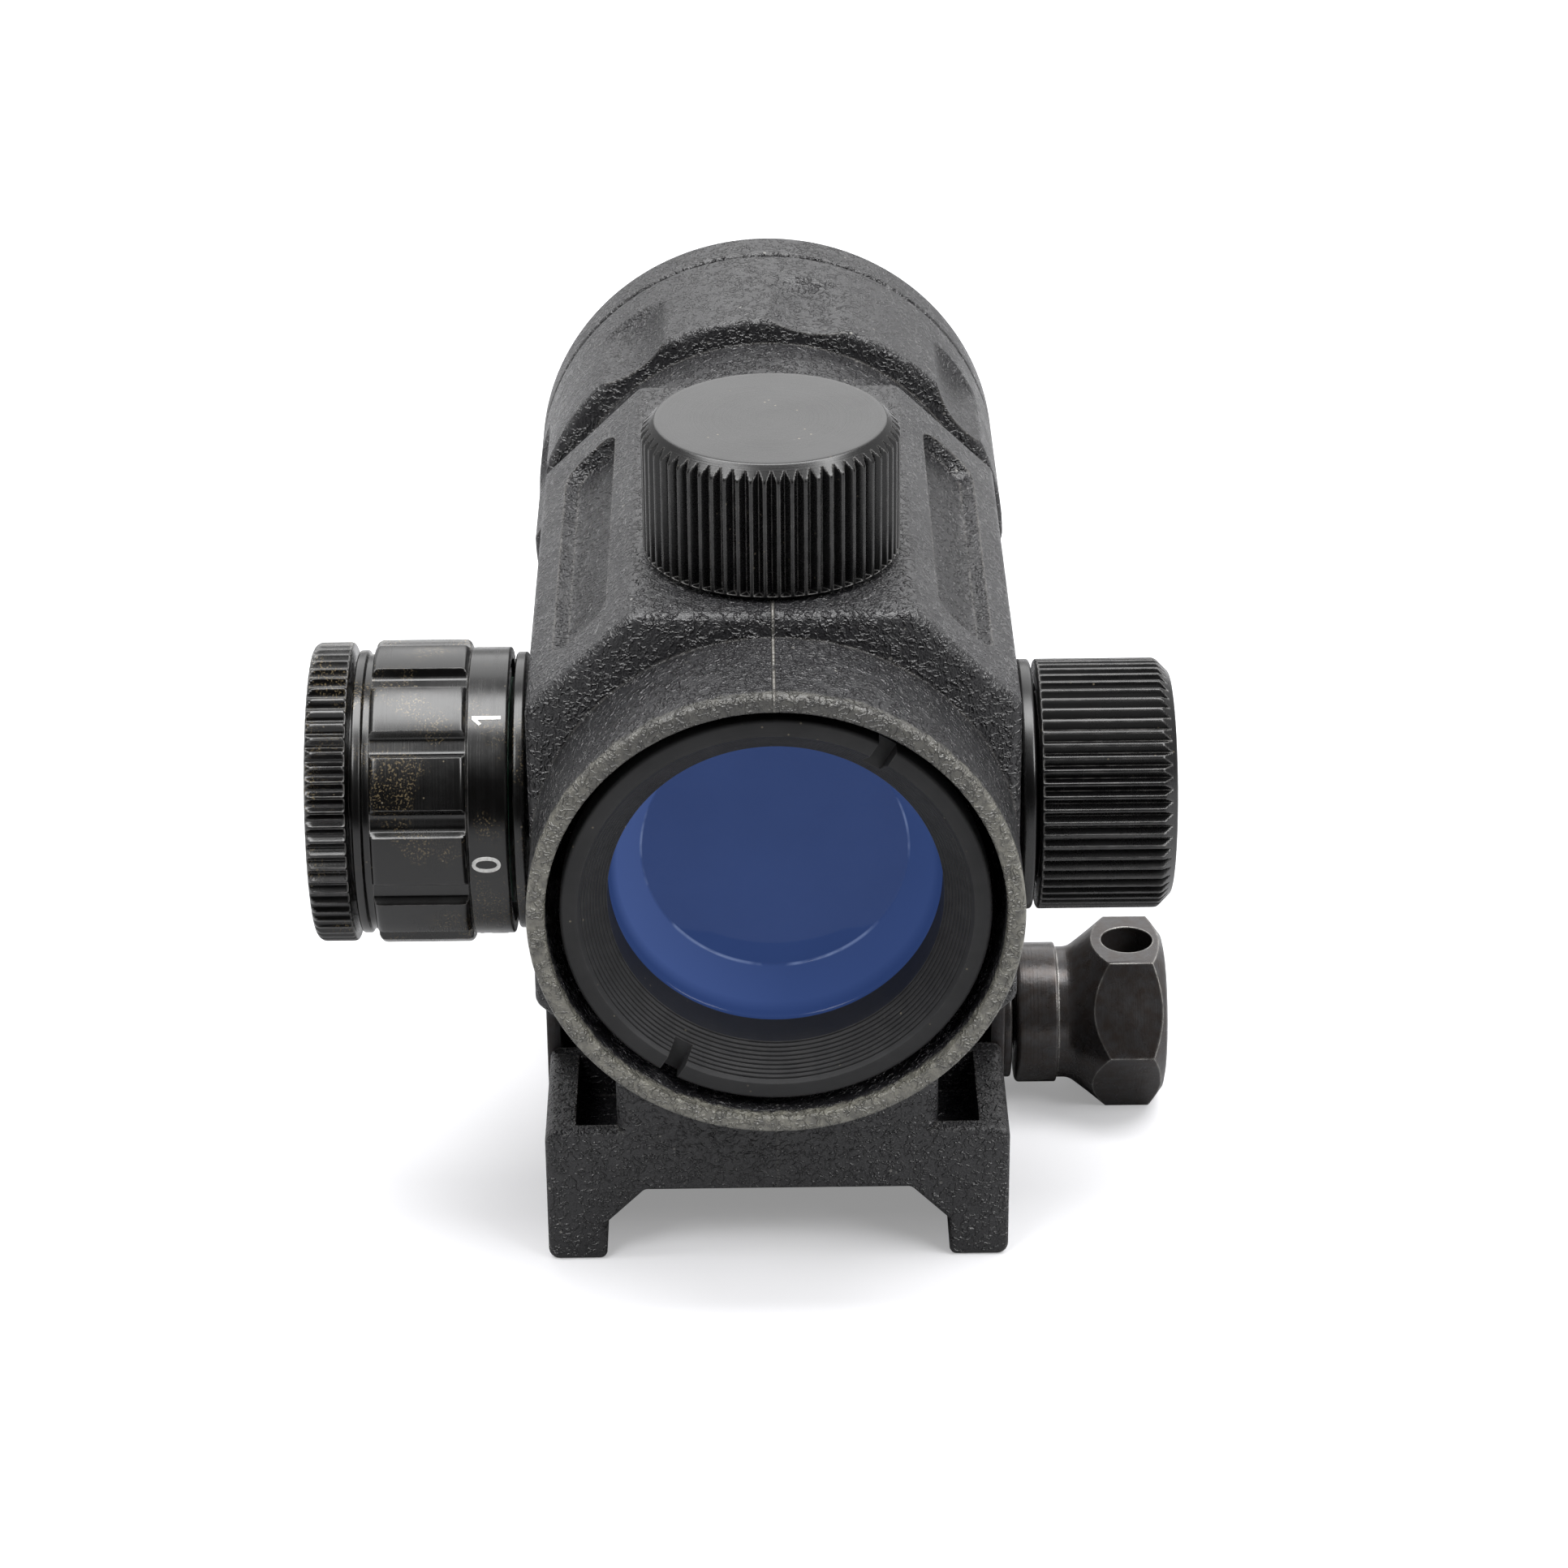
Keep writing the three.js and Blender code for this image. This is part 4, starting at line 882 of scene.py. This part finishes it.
def retaining_ring(name):
    """The threaded ring at the eye end, with its baffled mouth and two spanner slots."""
    path = [Vector(p) for p in (
        (ring_bore, ring_high.y),
        (sleeve, ring_high.y),
        (sleeve, flange_end),
        (ring_outer, flange_end),
    )]
    path += rounded([(ring_outer, flange_end), (ring_outer, ring_face, 0.22), (mouth, ring_face)])[1:-1]
    path += [Vector((mouth + 0.12, ring_face))]
    ring = placed(turned(name, path + baffles()), along_y(0, 0, axis_height))
    slots = slab(
        "slots",
        (-ring_outer - 1, ring_face - 1, -spanner_slot_half),
        (ring_outer + 1, ring_face + spanner_slot_depth, spanner_slot_half))
    placed(slots, Matrix.Translation((0, 0, axis_height)), Matrix.Rotation(spanner_slot_turn, 4, "Y"))
    return cut(ring, slots)


finished(
    retaining_ring("eyepiece_ring"),
    "optic_tube", matt_black, ["eyepiece_ring"], sharp=28)

far_low, far_high = corners("objective_ring")
flange_start = far_high.y - 1.8
finished(
    placed(
        turned("objective_ring", rounded([
            (ring_bore, far_low.y),
            (sleeve, far_low.y),
            (sleeve, flange_start),
            (ring_outer, flange_start, 0.15),
            (ring_outer, far_high.y, 0.25),
            (sleeve, far_high.y, 0.15),
            (ring_bore, far_high.y - 2.1),
        ])),
        along_y(0, 0, axis_height)),
    "optic_tube", matt_black, ["objective_ring"])

# ---------------------------------------------------------------------------
# Lenses
# Two ground glass lenses bonded in the tube. The eye lens is a dish with a
# strong blue coating, and the far one a domed disc of faintly blue glass.
# ---------------------------------------------------------------------------
dish_floor = 8.1
dish_depth = 3.1
dish_wall = 0.7
dome_height = 0.5


def bloomed_glass(name):
    """Clear glass with a thin blue bloom, hazed a little in patches."""
    finish = Finish(name, roughness=0.0, specular=0.5)
    finish.shader.inputs["Base Color"].default_value = (0.45, 0.58, 0.95, 1)
    finish.shader.inputs["Transmission Weight"].default_value = 1.0
    finish.shader.inputs["IOR"].default_value = 1.5
    rough = finish.between(finish.clouds(0.3, 4.0), 0.3, 1.9)
    return finish.set(roughness=finish.sum_of("MULTIPLY", rough, 0.02))


def blue_coating():
    """The blue coating, with a painted glow standing in for the light that comes through the tube from
    its far end. Painted light makes it paler up the dish's wall and towards the left, a painted highlight
    runs round the dish's floor, and painted shade darkens its outer edge.
    """
    glow_strength = 0.61
    finish = Finish("blue coating", roughness=0.05, specular=0.10, **sight_axis)
    x, y, z = finish.parts_of_place()
    radius = distance_out(finish.tree, x, y)
    patches = finish.between(finish.clouds(0.25, 4.0), 0.3, 0.7)
    colour = finish.blend(patches, (0.030, 0.058, 0.175), (0.033, 0.063, 0.188))
    # painted light: the dish's wall is drawn paler than its floor, and paler still towards the left
    wall = finish.between(radius, dish_floor - 0.05, dish_floor + 0.1)
    painted_light_to_left = finish.between(x, 1.0, -8.5)
    paler = finish.blend(painted_light_to_left, (0.040, 0.071, 0.198), (0.070, 0.114, 0.296))
    colour = finish.blend(wall, colour, paler)
    # painted shade: a darker band round the lens's outer edge
    edge = finish.between(radius, sleeve - 1.1, sleeve - 0.7)
    colour = finish.blend(edge, colour, (0.024, 0.047, 0.145))
    # painted highlight: a pale broken line round the edge of the dish's floor
    line = finish.sum_of("ABSOLUTE", finish.sum_of("SUBTRACT", radius, dish_floor))
    line = finish.between(line, 0.10, 0.03)
    line = finish.sum_of("MULTIPLY", line, finish.between(finish.clouds(0.35), 0.45, 0.6))
    colour = finish.blend(finish.sum_of("MULTIPLY", line, 0.8), colour, (0.20, 0.27, 0.48))
    # painted glow: the coating's colour is sent out as light, though the lens is no lamp
    finish.tree.links.new(colour, finish.shader.inputs["Emission Color"])
    finish.shader.inputs["Emission Strength"].default_value = glow_strength
    finish.shader.inputs["Base Color"].default_value = (0.014, 0.027, 0.084, 1)
    return finish.set(roughness=finish.sum_of("MULTIPLY_ADD", finish.clouds(0.4), 0.03, 0.03))


def dished_lens(name, radius, face):
    """The eye lens: a thin edge round a deep dish with a flat floor, about +Y."""
    return placed(turned(name, stepped(rounded([
        (0, face + dish_depth),
        (dish_floor, face + dish_depth, 0.2),
        (radius - 0.5, face + 0.1, 0.3),
        (radius, face, 0.12),
        (radius, face + 2, 0.2),
        (dish_floor + 0.8, face + dish_depth + dish_wall, 0.3),
        (0, face + dish_depth + dish_wall),
    ]), 1.0), 200), along_y(0, 0, axis_height))


def domed_lens(name, radius, crown, back):
    """The far lens about +Y, domed on its far face, with its edges ground off."""
    steps = 14
    edge = crown - dome_height
    dome = [Vector((radius * k / steps, crown - dome_height * (k / steps) ** 2)) for k in range(steps)]
    rim = rounded([dome[-1][:], (radius, edge, 0.25), (radius, back, 0.2), (0, back)])[1:]
    return placed(turned(name, dome + stepped(rim, 1.2), 160), along_y(0, 0, axis_height))


finished(
    dished_lens("eyepiece_lens", sleeve, lens_low.y),
    "optic_tube", blue_coating(), ["eyepiece_lens"])

far_lens_low, far_lens_high = corners("objective_lens")
finished(
    domed_lens("objective_lens", sleeve, far_lens_high.y, far_lens_low.y),
    "optic_tube", bloomed_glass("far lens glass"), ["objective_lens"])

# ---------------------------------------------------------------------------
# Inner pieces
# The emitter in its holder, the steel leaf that keeps the tube against its
# screws, the seals, the screws and pins, and the switch and cell in the dial.
# ---------------------------------------------------------------------------


def plain_finish(name, colour, roughness, metallic=0.0):
    """An inner piece's finish: its colour broken up a little, with a faint texture."""
    finish = Finish(name, roughness=roughness, metallic=metallic)
    darker = tuple(0.75 * part for part in colour)
    shade = finish.blend(finish.between(finish.clouds(1.2, 4.0), 0.3, 0.7), colour, darker)
    rough = finish.effect(smudges, Glossy=0.8 * roughness, Dull=1.2 * roughness)["Roughness"]
    texture = finish.relief(finish.clouds(6.0, 2.0), 0.01, finish.soft_edges(0.08))
    return finish.set(shade, rough, texture)


black_rubber = plain_finish("black rubber", (0.012, 0.012, 0.012), 0.65)
spring_steel = plain_finish("spring steel", (0.42, 0.42, 0.43), 0.32, 1.0)
brass = plain_finish("turned brass", (0.62, 0.44, 0.17), 0.34, 1.0)
dress(black_rubber, "led_holder", "led_lead",
      "elevation_cap_seal", "windage_cap_seal", "battery_cap_seal")
dress(spring_steel, "return_spring", "spindle_clip", "click_spring")
dress(brass, "elevation_screw", "windage_screw", "elevation_plunger", "windage_plunger",
      "dial_wiper", "battery_contact")
dress(plain_finish("red emitter", (0.35, 0.01, 0.01), 0.2), "led")
dress(plain_finish("circuit board", (0.014, 0.068, 0.035), 0.45), "contact_board")
dress(plain_finish("cell steel", (0.55, 0.55, 0.56), 0.28, 1.0), "battery")

# ---------------------------------------------------------------------------
# Adjusters
# Two screws under knurled aluminium caps, one on top and one on the right.
# Each bush is threaded outside for its cap, and the right one has a base ring.
# ---------------------------------------------------------------------------
upright_axis = {"axis": "Z", "centre": (0, 0, 0)}
side_axis = {"axis": "X", "centre": (axis_height, 0, 0)}
knurl_count = 60
knurl_depth = 0.52
slices_a_knurl = 16
cap_edge = 0.85
cap_roof = 1.2
cap_side = 1.55


def adjuster_cap(name, foot_height, top, radius, material):
    """A knurled cap about +Z, hollow below, with a polished chamfer round its flat top."""
    inner = radius - cap_side
    path = rounded([
        (0, top),
        (radius - cap_edge, top, 0.25),
        (radius, top - cap_edge, 0.45),
        (radius, foot_height, 0.2),
        (inner, foot_height, 0.1),
        (inner, top - cap_roof, 0.2),
        (0, top - cap_roof),
    ])
    roof = -8
    fine = stepped(path[:roof], 0.22) + path[roof:]
    return grooved(
        turned(name, fine, knurl_count * slices_a_knurl), material, count=knurl_count, turn=0,
        radius=radius, depth=knurl_depth, land=0.22, bowl=1.15, low=foot_height + 0.15, high=top,
        fade=0.01)


def thread(radius, depth, start, end, pitch):
    """A screw thread's outline, crest after root, up to the last crest before its end."""
    points = []
    while start + pitch < end:
        points += [(radius, start), (radius - depth, start + pitch / 2)]
        start += pitch
    return points + [(radius, start)]


def threaded_bush(name, foot_height, base, top, radius, material):
    """An adjuster's bush about +Z, threaded outside for its cap. Its stem goes into the housing."""
    stem, throat, well = 4.4, 1.8, 3.9
    floor = top - 1.75
    path = [(throat, foot_height), (stem, foot_height), (stem, base), (radius, base)]
    path += thread(radius, 0.16, base + 0.9, top - 0.3, 0.5)
    path += [(radius, top - 0.2), (radius - 0.2, top), (well, top), (well, floor), (throat, floor)]
    made = turned(name, [Vector(point) for point in path], 120)
    made.data.materials.append(material)
    return made


top_low, top_high = corners("elevation_cap")
side_low, side_high = corners("windage_cap")
cap_radius = top_high.x
bush_radius = 5.9
cap_black = (0.0020, 0.0019, 0.0021)
top_cap_finish = black_metal("black anodised, top cap", cap_black, 0.20, 0.26, 0.9, **upright_axis)
side_cap_finish = black_metal("black anodised, side cap", cap_black, 0.20, 0.30, 0.9, **side_axis)

finished(
    adjuster_cap("elevation_cap", top_low.z, top_high.z, cap_radius, top_cap_finish),
    "elevation_cap", nodes=["elevation_cap"], sharp=24)
finished(
    placed(
        adjuster_cap("windage_cap", side_low.x, side_high.x, cap_radius, side_cap_finish),
        along_x(0, 0, axis_height)),
    "windage_cap", nodes=["windage_cap"], sharp=24)

seat_gap = 0.3
top_seat = axis_height + block_half_height + seat_gap
side_seat = block_half_width + seat_gap

bush_low, bush_high = corners("elevation_bush")
finished(
    threaded_bush("elevation_bush", bush_low.z, top_seat, bush_high.z, bush_radius, top_cap_finish),
    "housing", nodes=["elevation_bush"])

bush_low, bush_high = corners("windage_bush")
bush = threaded_bush(
    "windage_bush", bush_low.x, side_seat, bush_high.x, bush_radius, side_cap_finish)
base_ring = turned("base ring", rounded([
    (5.0, side_seat),
    (cap_radius, side_seat, 0.15),
    (cap_radius, side_seat + 0.8, 0.2),
    (5.0, side_seat + 0.8),
]), 120)
finished(
    placed(joined(bush, base_ring), along_x(0, 0, axis_height)),
    "housing", side_cap_finish, ["windage_bush"])

# ---------------------------------------------------------------------------
# Brightness dial
# A grip of black anodised aluminium with twelve milled grooves and a smooth
# collar with its figures, over a fixed flange. A knurled cap closes its battery.
# ---------------------------------------------------------------------------
dial_low, dial_high = corners("dial")
dial_foot, dial_top = -dial_high.x, -dial_low.x
grip_radius = dial_high.y
collar_radius = 8.85
collar_top = dial_foot + 2.5
grip_top = collar_top + 5.8
lip_radius = 8.75
well_radius = 8.0
floor_low = collar_top + 0.3
floor_high = collar_top + 1.3
recess = grip_radius - 0.75
throat = lip_radius - 0.25


def along_minus_x(x, y, z):
    """What takes a body turned about +Z to an axis along -X."""
    return Matrix.Translation((x, y, z)) @ Matrix.Rotation(math.radians(-90), 4, "Y")


grip_black = (0.0015, 0.0014, 0.0014)
grip_finish = black_metal("black anodised, dial", grip_black, 0.15, 0.26, 0.8, 0.6, **side_axis)


def dial():
    """The dial about +Z, its collar below and the mouth of its battery well above."""
    outside = stepped(rounded([
        (well_radius, dial_foot),
        (collar_radius, dial_foot, 0.15),
        (collar_radius, collar_top - 0.12),
        (recess, collar_top, 0.1),
        (grip_radius, collar_top, 0.4),
        (grip_radius, grip_top, 0.4),
        (throat, grip_top, 0.1),
        (throat, grip_top + 0.45, 0.1),
        (lip_radius, grip_top + 0.55, 0.1),
        (lip_radius, dial_top, 0.15),
        (well_radius, dial_top),
    ]), 0.3)
    inside = [Vector(point) for point in (
        (well_radius, floor_high),
        (spindle_hole, floor_high),
        (spindle_hole, floor_low),
        (collar_radius - 0.7, floor_low),
        (collar_radius - 0.7, dial_foot),
    )]
    return grooved(
        turned("dial", outside + inside, 480), grip_finish, count=12, turn=15,
        radius=grip_radius, depth=0.55, land=0.68, bowl=5.0, low=collar_top - 0.01,
        high=grip_top + 0.01, fade=0.01)


finished(
    placed(dial(), along_minus_x(0, 0, axis_height)),
    "brightness_dial", nodes=["dial"], sharp=26)

white_fill = Finish("white fill", roughness=0.6)
chalky = white_fill.between(white_fill.clouds(6.0), 0.25, 0.5)
white_fill.set(white_fill.blend(chalky, (0.45, 0.45, 0.43), (0.72, 0.72, 0.70)))
figure_height = 1.75
figure_relief = 0.05
figure_step = 60
first_figure = -93


def plain_one():
    """A figure 1 with a straight stem and a slanted flag, standing in X and Y."""
    top = figure_height / 2
    outline = [
        (-0.12, -top),
        (0.12, -top),
        (0.12, top),
        (-0.10, top),
        (-0.52, top - 0.42),
        (-0.40, top - 0.58),
        (-0.12, top - 0.30),
    ]
    made = prism("figure", outline, -figure_relief, figure_relief)
    placed(made, Matrix.Rotation(math.radians(-90), 4, "X"))
    mesh = made.data
    bpy.data.objects.remove(made)
    return mesh


def written(number):
    """A figure in the plain built-in letters, standing in X and Y."""
    text = bpy.data.curves.new("figure", "FONT")
    text.body = str(number)
    text.size = figure_height / 0.7
    text.align_x = "CENTER"
    text.align_y = "CENTER"
    text.extrude = figure_relief
    text.resolution_u = 6
    lettering = bpy.data.objects.new("figure", text)
    bpy.context.scene.collection.objects.link(lettering)
    bpy.context.view_layer.update()
    mesh = bpy.data.meshes.new_from_object(lettering.evaluated_get(bpy.context.evaluated_depsgraph_get()))
    bpy.data.objects.remove(lettering)
    return mesh


def figure(number, turn):
    """One white-filled figure, laid round the collar with its top towards the battery."""
    mesh = plain_one() if number == 1 else written(number)
    for point in mesh.vertices:
        angle = turn + point.co.x / collar_radius
        radius = collar_radius - 0.02 + point.co.z
        along = (dial_foot + collar_top) / 2 + point.co.y
        point.co = (radius * math.cos(angle), radius * math.sin(angle), along)
    form = bmesh.new()
    form.from_mesh(mesh)
    bmesh.ops.remove_doubles(form, verts=form.verts, dist=1e-4)
    bpy.data.meshes.remove(mesh)
    return put(form, f"figure_{number}")


for number in range(6):
    finished(
        placed(
            figure(number, math.radians(figure_step * number + first_figure)),
            along_minus_x(0, 0, axis_height)),
        "brightness_dial", white_fill.material)

flange_low, flange_high = corners("rheostat_flange")
flange_radius = flange_high.y
spindle_bore, spindle, spindle_foot, spindle_end = 2, 3, 14.0, -flange_low.x
finished(
    placed(
        turned("rheostat_flange", rounded([
            (spindle_bore, spindle_foot),
            (spindle, spindle_foot),
            (spindle, side_seat),
            (flange_radius, side_seat, 0.15),
            (flange_radius, side_seat + 0.7, 0.15),
            (spindle, side_seat + 0.7),
            (spindle, spindle_end),
            (spindle_bore, spindle_end),
        ]), 160),
        along_minus_x(0, 0, axis_height)),
    "housing", grip_finish, ["rheostat_flange"])

cell_cap_low, cell_cap_high = corners("battery_cap")
cap_foot, cap_top = dial_top + 0.3, -cell_cap_low.x
cell_cap_radius = cell_cap_high.y
cell_cap_knurls = 64
boss_foot = -cell_cap_high.x
boss_radius = 6.8
coin_slot_half_length = 5.6
coin_slot_half_width = 0.8
coin_slot_depth = 0.8


def battery_cap():
    """The battery's cap about +Z: knurled rim, a fine groove under it and a coin slot in its face."""
    outside = stepped(rounded([
        (boss_radius, boss_foot),
        (boss_radius, cap_foot),
        (cell_cap_radius, cap_foot, 0.25),
        (cell_cap_radius, cap_top, 0.55),
        (0, cap_top),
    ]), 0.22)
    path = [Vector((0, boss_foot))] + outside
    body = grooved(
        turned("battery_cap", path, cell_cap_knurls * 12), grip_finish, count=cell_cap_knurls,
        turn=0, radius=cell_cap_radius, depth=0.36, land=0.15, bowl=1.6, low=cap_foot + 0.05,
        high=cap_top, fade=0.01)
    return cut(body, slab(
        "slot",
        (-coin_slot_half_length, -coin_slot_half_width, cap_top - coin_slot_depth),
        (coin_slot_half_length, coin_slot_half_width, cap_top + 1)))


finished(
    placed(battery_cap(), along_minus_x(0, 0, axis_height)),
    "battery_cap", nodes=["battery_cap"], sharp=26)

# ---------------------------------------------------------------------------
# Rail clamp
# Two folded steel jaws, a cross bolt, a washer and a hexagon nut with a cross
# hole for a bar. All are blackened steel, rubbed bright along the nut's edges.
# ---------------------------------------------------------------------------
jaw_low, jaw_high = corners("moving_jaw")
jaw_wall = 0.9
bolt_radius = (bolt_high.y - bolt_low.y) / 2
bolt_axis = {"axis": "X", "centre": (bolt_z, -bolt_y, 0)}


def blackened_steel(name, colour, rubbed, glossy, dull, **axis):
    """Steel with a hot black oxide, mottled, its high edges rubbed back to bare metal."""
    finish = Finish(name, metallic=0.55, specular=0.5, **axis)
    lines = finish.effect(turned_lines, Pitch=0.13)["Height"]
    worn = finish.effect(edge_wear, Width=0.22, Patchiness=0.7)["Worn"]
    mottle = finish.between(finish.clouds(1.4, 6.0), 0.35, 0.65)
    browner = (0.78 * colour[0], 0.66 * colour[1], 0.58 * colour[2])
    shade = finish.blend(mottle, colour, browner)
    shade = finish.blend(finish.sum_of("MULTIPLY", worn, rubbed), shade, (0.40, 0.39, 0.37))
    rough = finish.effect(smudges, Glossy=glossy, Dull=dull)["Roughness"]
    height = finish.sum_of("MULTIPLY_ADD", mottle, 0.6, lines)
    return finish.set(shade, rough, finish.relief(height, 0.012, finish.soft_edges(0.12)))


jaw_steel = blackened_steel("blackened steel, jaws", (0.040, 0.039, 0.042), 0.35, 0.36, 0.5)
nut_steel = blackened_steel("blackened steel, nut", (0.046, 0.044, 0.045), 1.0, 0.20, 0.36, **bolt_axis)


def jaw(name, side):
    """One jaw: a plate with a lip folded in over the shoulder and a hook under the rail."""
    outer, inner = jaw_high.x, jaw_high.x - jaw_wall
    bottom, top = jaw_low.z, jaw_high.z
    hook = jaw_low.x
    outline = rounded([(side * x, z, radius) for x, z, radius in (
        (outer, bottom, 0.35),
        (outer, top, 0.8),
        (web_half + 0.3, top, 0.2),
        (web_half + 0.3, top - jaw_wall, 0.2),
        (inner, top - jaw_wall, 0.3),
        (inner, bottom + 2.6, 0.2),
        (hook + 2.6, bottom + 2.6, 0.3),
        (hook, bottom + 0.2, 0.08),
        (hook, bottom, 0.08),
    )])
    return cut(
        prism(name, outline, jaw_low.y, jaw_high.y, 0.07),
        placed(hole(bolt_radius + 0.3, -outer - 1, outer + 1), along_x(0, bolt_y, bolt_z)))


finished(jaw("moving_jaw", 1), "clamp_jaw", jaw_steel, ["moving_jaw"], sharp=40)
finished(jaw("fixed_jaw", -1), "housing", jaw_steel, ["fixed_jaw"], sharp=40)

thread_foot = 13.5
bolt_path = [(0, bolt_low.x), (bolt_radius - 0.3, bolt_low.x), (bolt_radius, bolt_low.x + 0.3)]
bolt_path += thread(bolt_radius, 0.25, thread_foot, bolt_high.x - 0.4, 0.7)
bolt_path += [(bolt_radius - 0.35, bolt_high.x), (0, bolt_high.x)]
bolt = turned("cross_bolt", [Vector(point) for point in bolt_path], 96)
finished(placed(bolt, along_x(0, bolt_y, bolt_z)), "housing", nut_steel, ["cross_bolt"])

washer_low, washer_high = corners("clamp_washer")
finished(
    placed(
        turned("clamp_washer", rounded([
            (bolt_radius + 0.3, washer_low.x, 0.08),
            (washer_high.y - bolt_y, washer_low.x, 0.15),
            (washer_high.y - bolt_y, washer_high.x, 0.15),
            (bolt_radius + 0.3, washer_high.x, 0.08),
        ]), 120),
        along_x(0, bolt_y, bolt_z)),
    "clamp_jaw", nut_steel, ["clamp_washer"])

nut_low, nut_high = corners("clamp_nut")
nut_across = nut_high.z - nut_low.z
nut_collar = 4.65
nut_neck = nut_collar - 0.3
neck_low = nut_low.x + 3
hex_low = neck_low + 1.9
bar_hole = 1.7


def nut():
    """The nut about +Z: turned collar and neck, a chamfered hexagon and the cross hole for a bar."""
    corner_radius = nut_across / 2 / math.cos(math.pi / 6)
    flat = nut_across / 2
    middle = (hex_low + nut_high.x) / 2
    blind = middle - bar_hole - 0.3
    blank = turned("clamp_nut", stepped(rounded([
        (0, blind),
        (bolt_radius + 0.3, blind),
        (bolt_radius + 0.3, nut_low.x, 0.1),
        (nut_collar, nut_low.x, 0.3),
        (nut_collar, neck_low - 0.3, 0.12),
        (nut_neck, neck_low - 0.25),
        (nut_neck, neck_low + 0.6, 1.2),
        (flat - 0.1, hex_low, 0.3),
        (corner_radius, hex_low + 1.15),
        (corner_radius, nut_high.x - 1.0),
        (flat - 0.35, nut_high.x - 0.12, 0.2),
        (flat - 0.9, nut_high.x, 0.1),
        (0, nut_high.x),
    ]), 0.4), 180)
    turns = [math.pi / 3 * k + math.pi / 6 for k in range(6)]
    sides = [(corner_radius * math.cos(turn), corner_radius * math.sin(turn)) for turn in turns]
    hexagon = prism("hexagon", sides, -nut_high.x - 1, 1 - nut_low.x)
    placed(hexagon, Matrix.Rotation(math.radians(-90), 4, "X"))
    bar = placed(hole(bar_hole, -corner_radius - 1, corner_radius + 1), along_x(0, 0, middle))
    return cut(combined(blank, "INTERSECT", hexagon), bar)


finished(
    placed(nut(), along_x(0, bolt_y, bolt_z)),
    "clamp_nut", nut_steel, ["clamp_nut"], sharp=30)

# ---------------------------------------------------------------------------
# Floor and light
# White paper under the sight, in a pale room that is dim on the camera's side.
# One broad soft light hangs overhead and one stands behind, with two small
# weak ones at the front left and right.
# ---------------------------------------------------------------------------
paper_reach = 1.2
paper_seen = (0.52, 0.52, 0.535, 1)
paper_shade = (0.34, 0.34, 0.345, 1)
paper_lift = 0.275

paper = bpy.data.meshes.new("paper")
edges = [(-1, -1), (1, -1), (1, 1), (-1, 1)]
paper.from_pydata(
    [(paper_reach * x, paper_reach * y, foot * MM) for x, y in edges], [], [(0, 1, 2, 3)])
floor = bpy.data.objects.new("paper", paper)
bpy.context.scene.collection.objects.link(floor)
white_paper = bpy.data.materials.new("white paper")
white_paper.use_nodes = True
tree = white_paper.node_tree
tree.nodes.clear()
seen = tree.nodes.new("ShaderNodeLightPath").outputs["Is Camera Ray"]
to_camera = tree.nodes.new("ShaderNodeBsdfDiffuse")
to_camera.inputs["Color"].default_value = paper_seen
lift = tree.nodes.new("ShaderNodeEmission")
lift.inputs["Color"].default_value = (1, 1, 1, 1)
lift.inputs["Strength"].default_value = paper_lift
both = tree.nodes.new("ShaderNodeAddShader")
tree.links.new(to_camera.outputs[0], both.inputs[0])
tree.links.new(lift.outputs[0], both.inputs[1])
to_sight = tree.nodes.new("ShaderNodeBsdfDiffuse")
to_sight.inputs["Color"].default_value = paper_shade
pick = tree.nodes.new("ShaderNodeMixShader")
tree.links.new(seen, pick.inputs[0])
tree.links.new(to_sight.outputs[0], pick.inputs[1])
tree.links.new(both.outputs[0], pick.inputs[2])
tree.links.new(pick.outputs[0], tree.nodes.new("ShaderNodeOutputMaterial").inputs[0])
paper.materials.append(white_paper)

room = bpy.data.worlds.new("room")
bpy.context.scene.world = room
room.use_nodes = True
tree = room.node_tree
sky = tree.nodes["Background"]
direction = tree.nodes.new("ShaderNodeSeparateXYZ")
tree.links.new(tree.nodes.new("ShaderNodeTexCoord").outputs["Generated"], direction.inputs[0])
x, y, z = direction.outputs
height = value_of(tree, "MULTIPLY", z, 0.85)
behind = between(tree, value_of(tree, "MULTIPLY_ADD", y, 0.55, height), 0.05, 0.75)
beside = value_of(tree, "MULTIPLY", value_of(tree, "ABSOLUTE", x), 0.12)
glow = value_of(tree, "MULTIPLY_ADD", behind, 0.62, value_of(tree, "ADD", beside, 0.02))
seen = tree.nodes.new("ShaderNodeLightPath").outputs["Is Camera Ray"]
tree.links.new(value_of(tree, "MAXIMUM", glow, seen), sky.inputs["Strength"])
sky.inputs["Color"].default_value = (1.0, 1.0, 1.0, 1)


def soft_light(name, place, size, power):
    """A square-edged soft light, turned towards the middle of the sight."""
    middle = Vector((0, 0.015, 0.02))
    lamp = bpy.data.lights.new(name, "AREA")
    lamp.shape = "RECTANGLE"
    lamp.size, lamp.size_y = size
    lamp.energy = power
    made = bpy.data.objects.new(name, lamp)
    made.location = place
    made.rotation_euler = (middle - Vector(place)).to_track_quat("-Z", "Y").to_euler()
    bpy.context.scene.collection.objects.link(made)


soft_light("back light", (0.0, 0.95, 0.62), (1.3, 0.8), 5)
soft_light("overhead light", (0.0, 0.06, 0.95), (1.5, 0.5), 22)
soft_light("window light", (-0.45, -0.50, 0.85), (0.40, 0.40), 5)
soft_light("side light", (0.55, -0.35, 0.60), (0.40, 0.40), 5)

bpy.context.scene.view_settings.view_transform = "Standard"
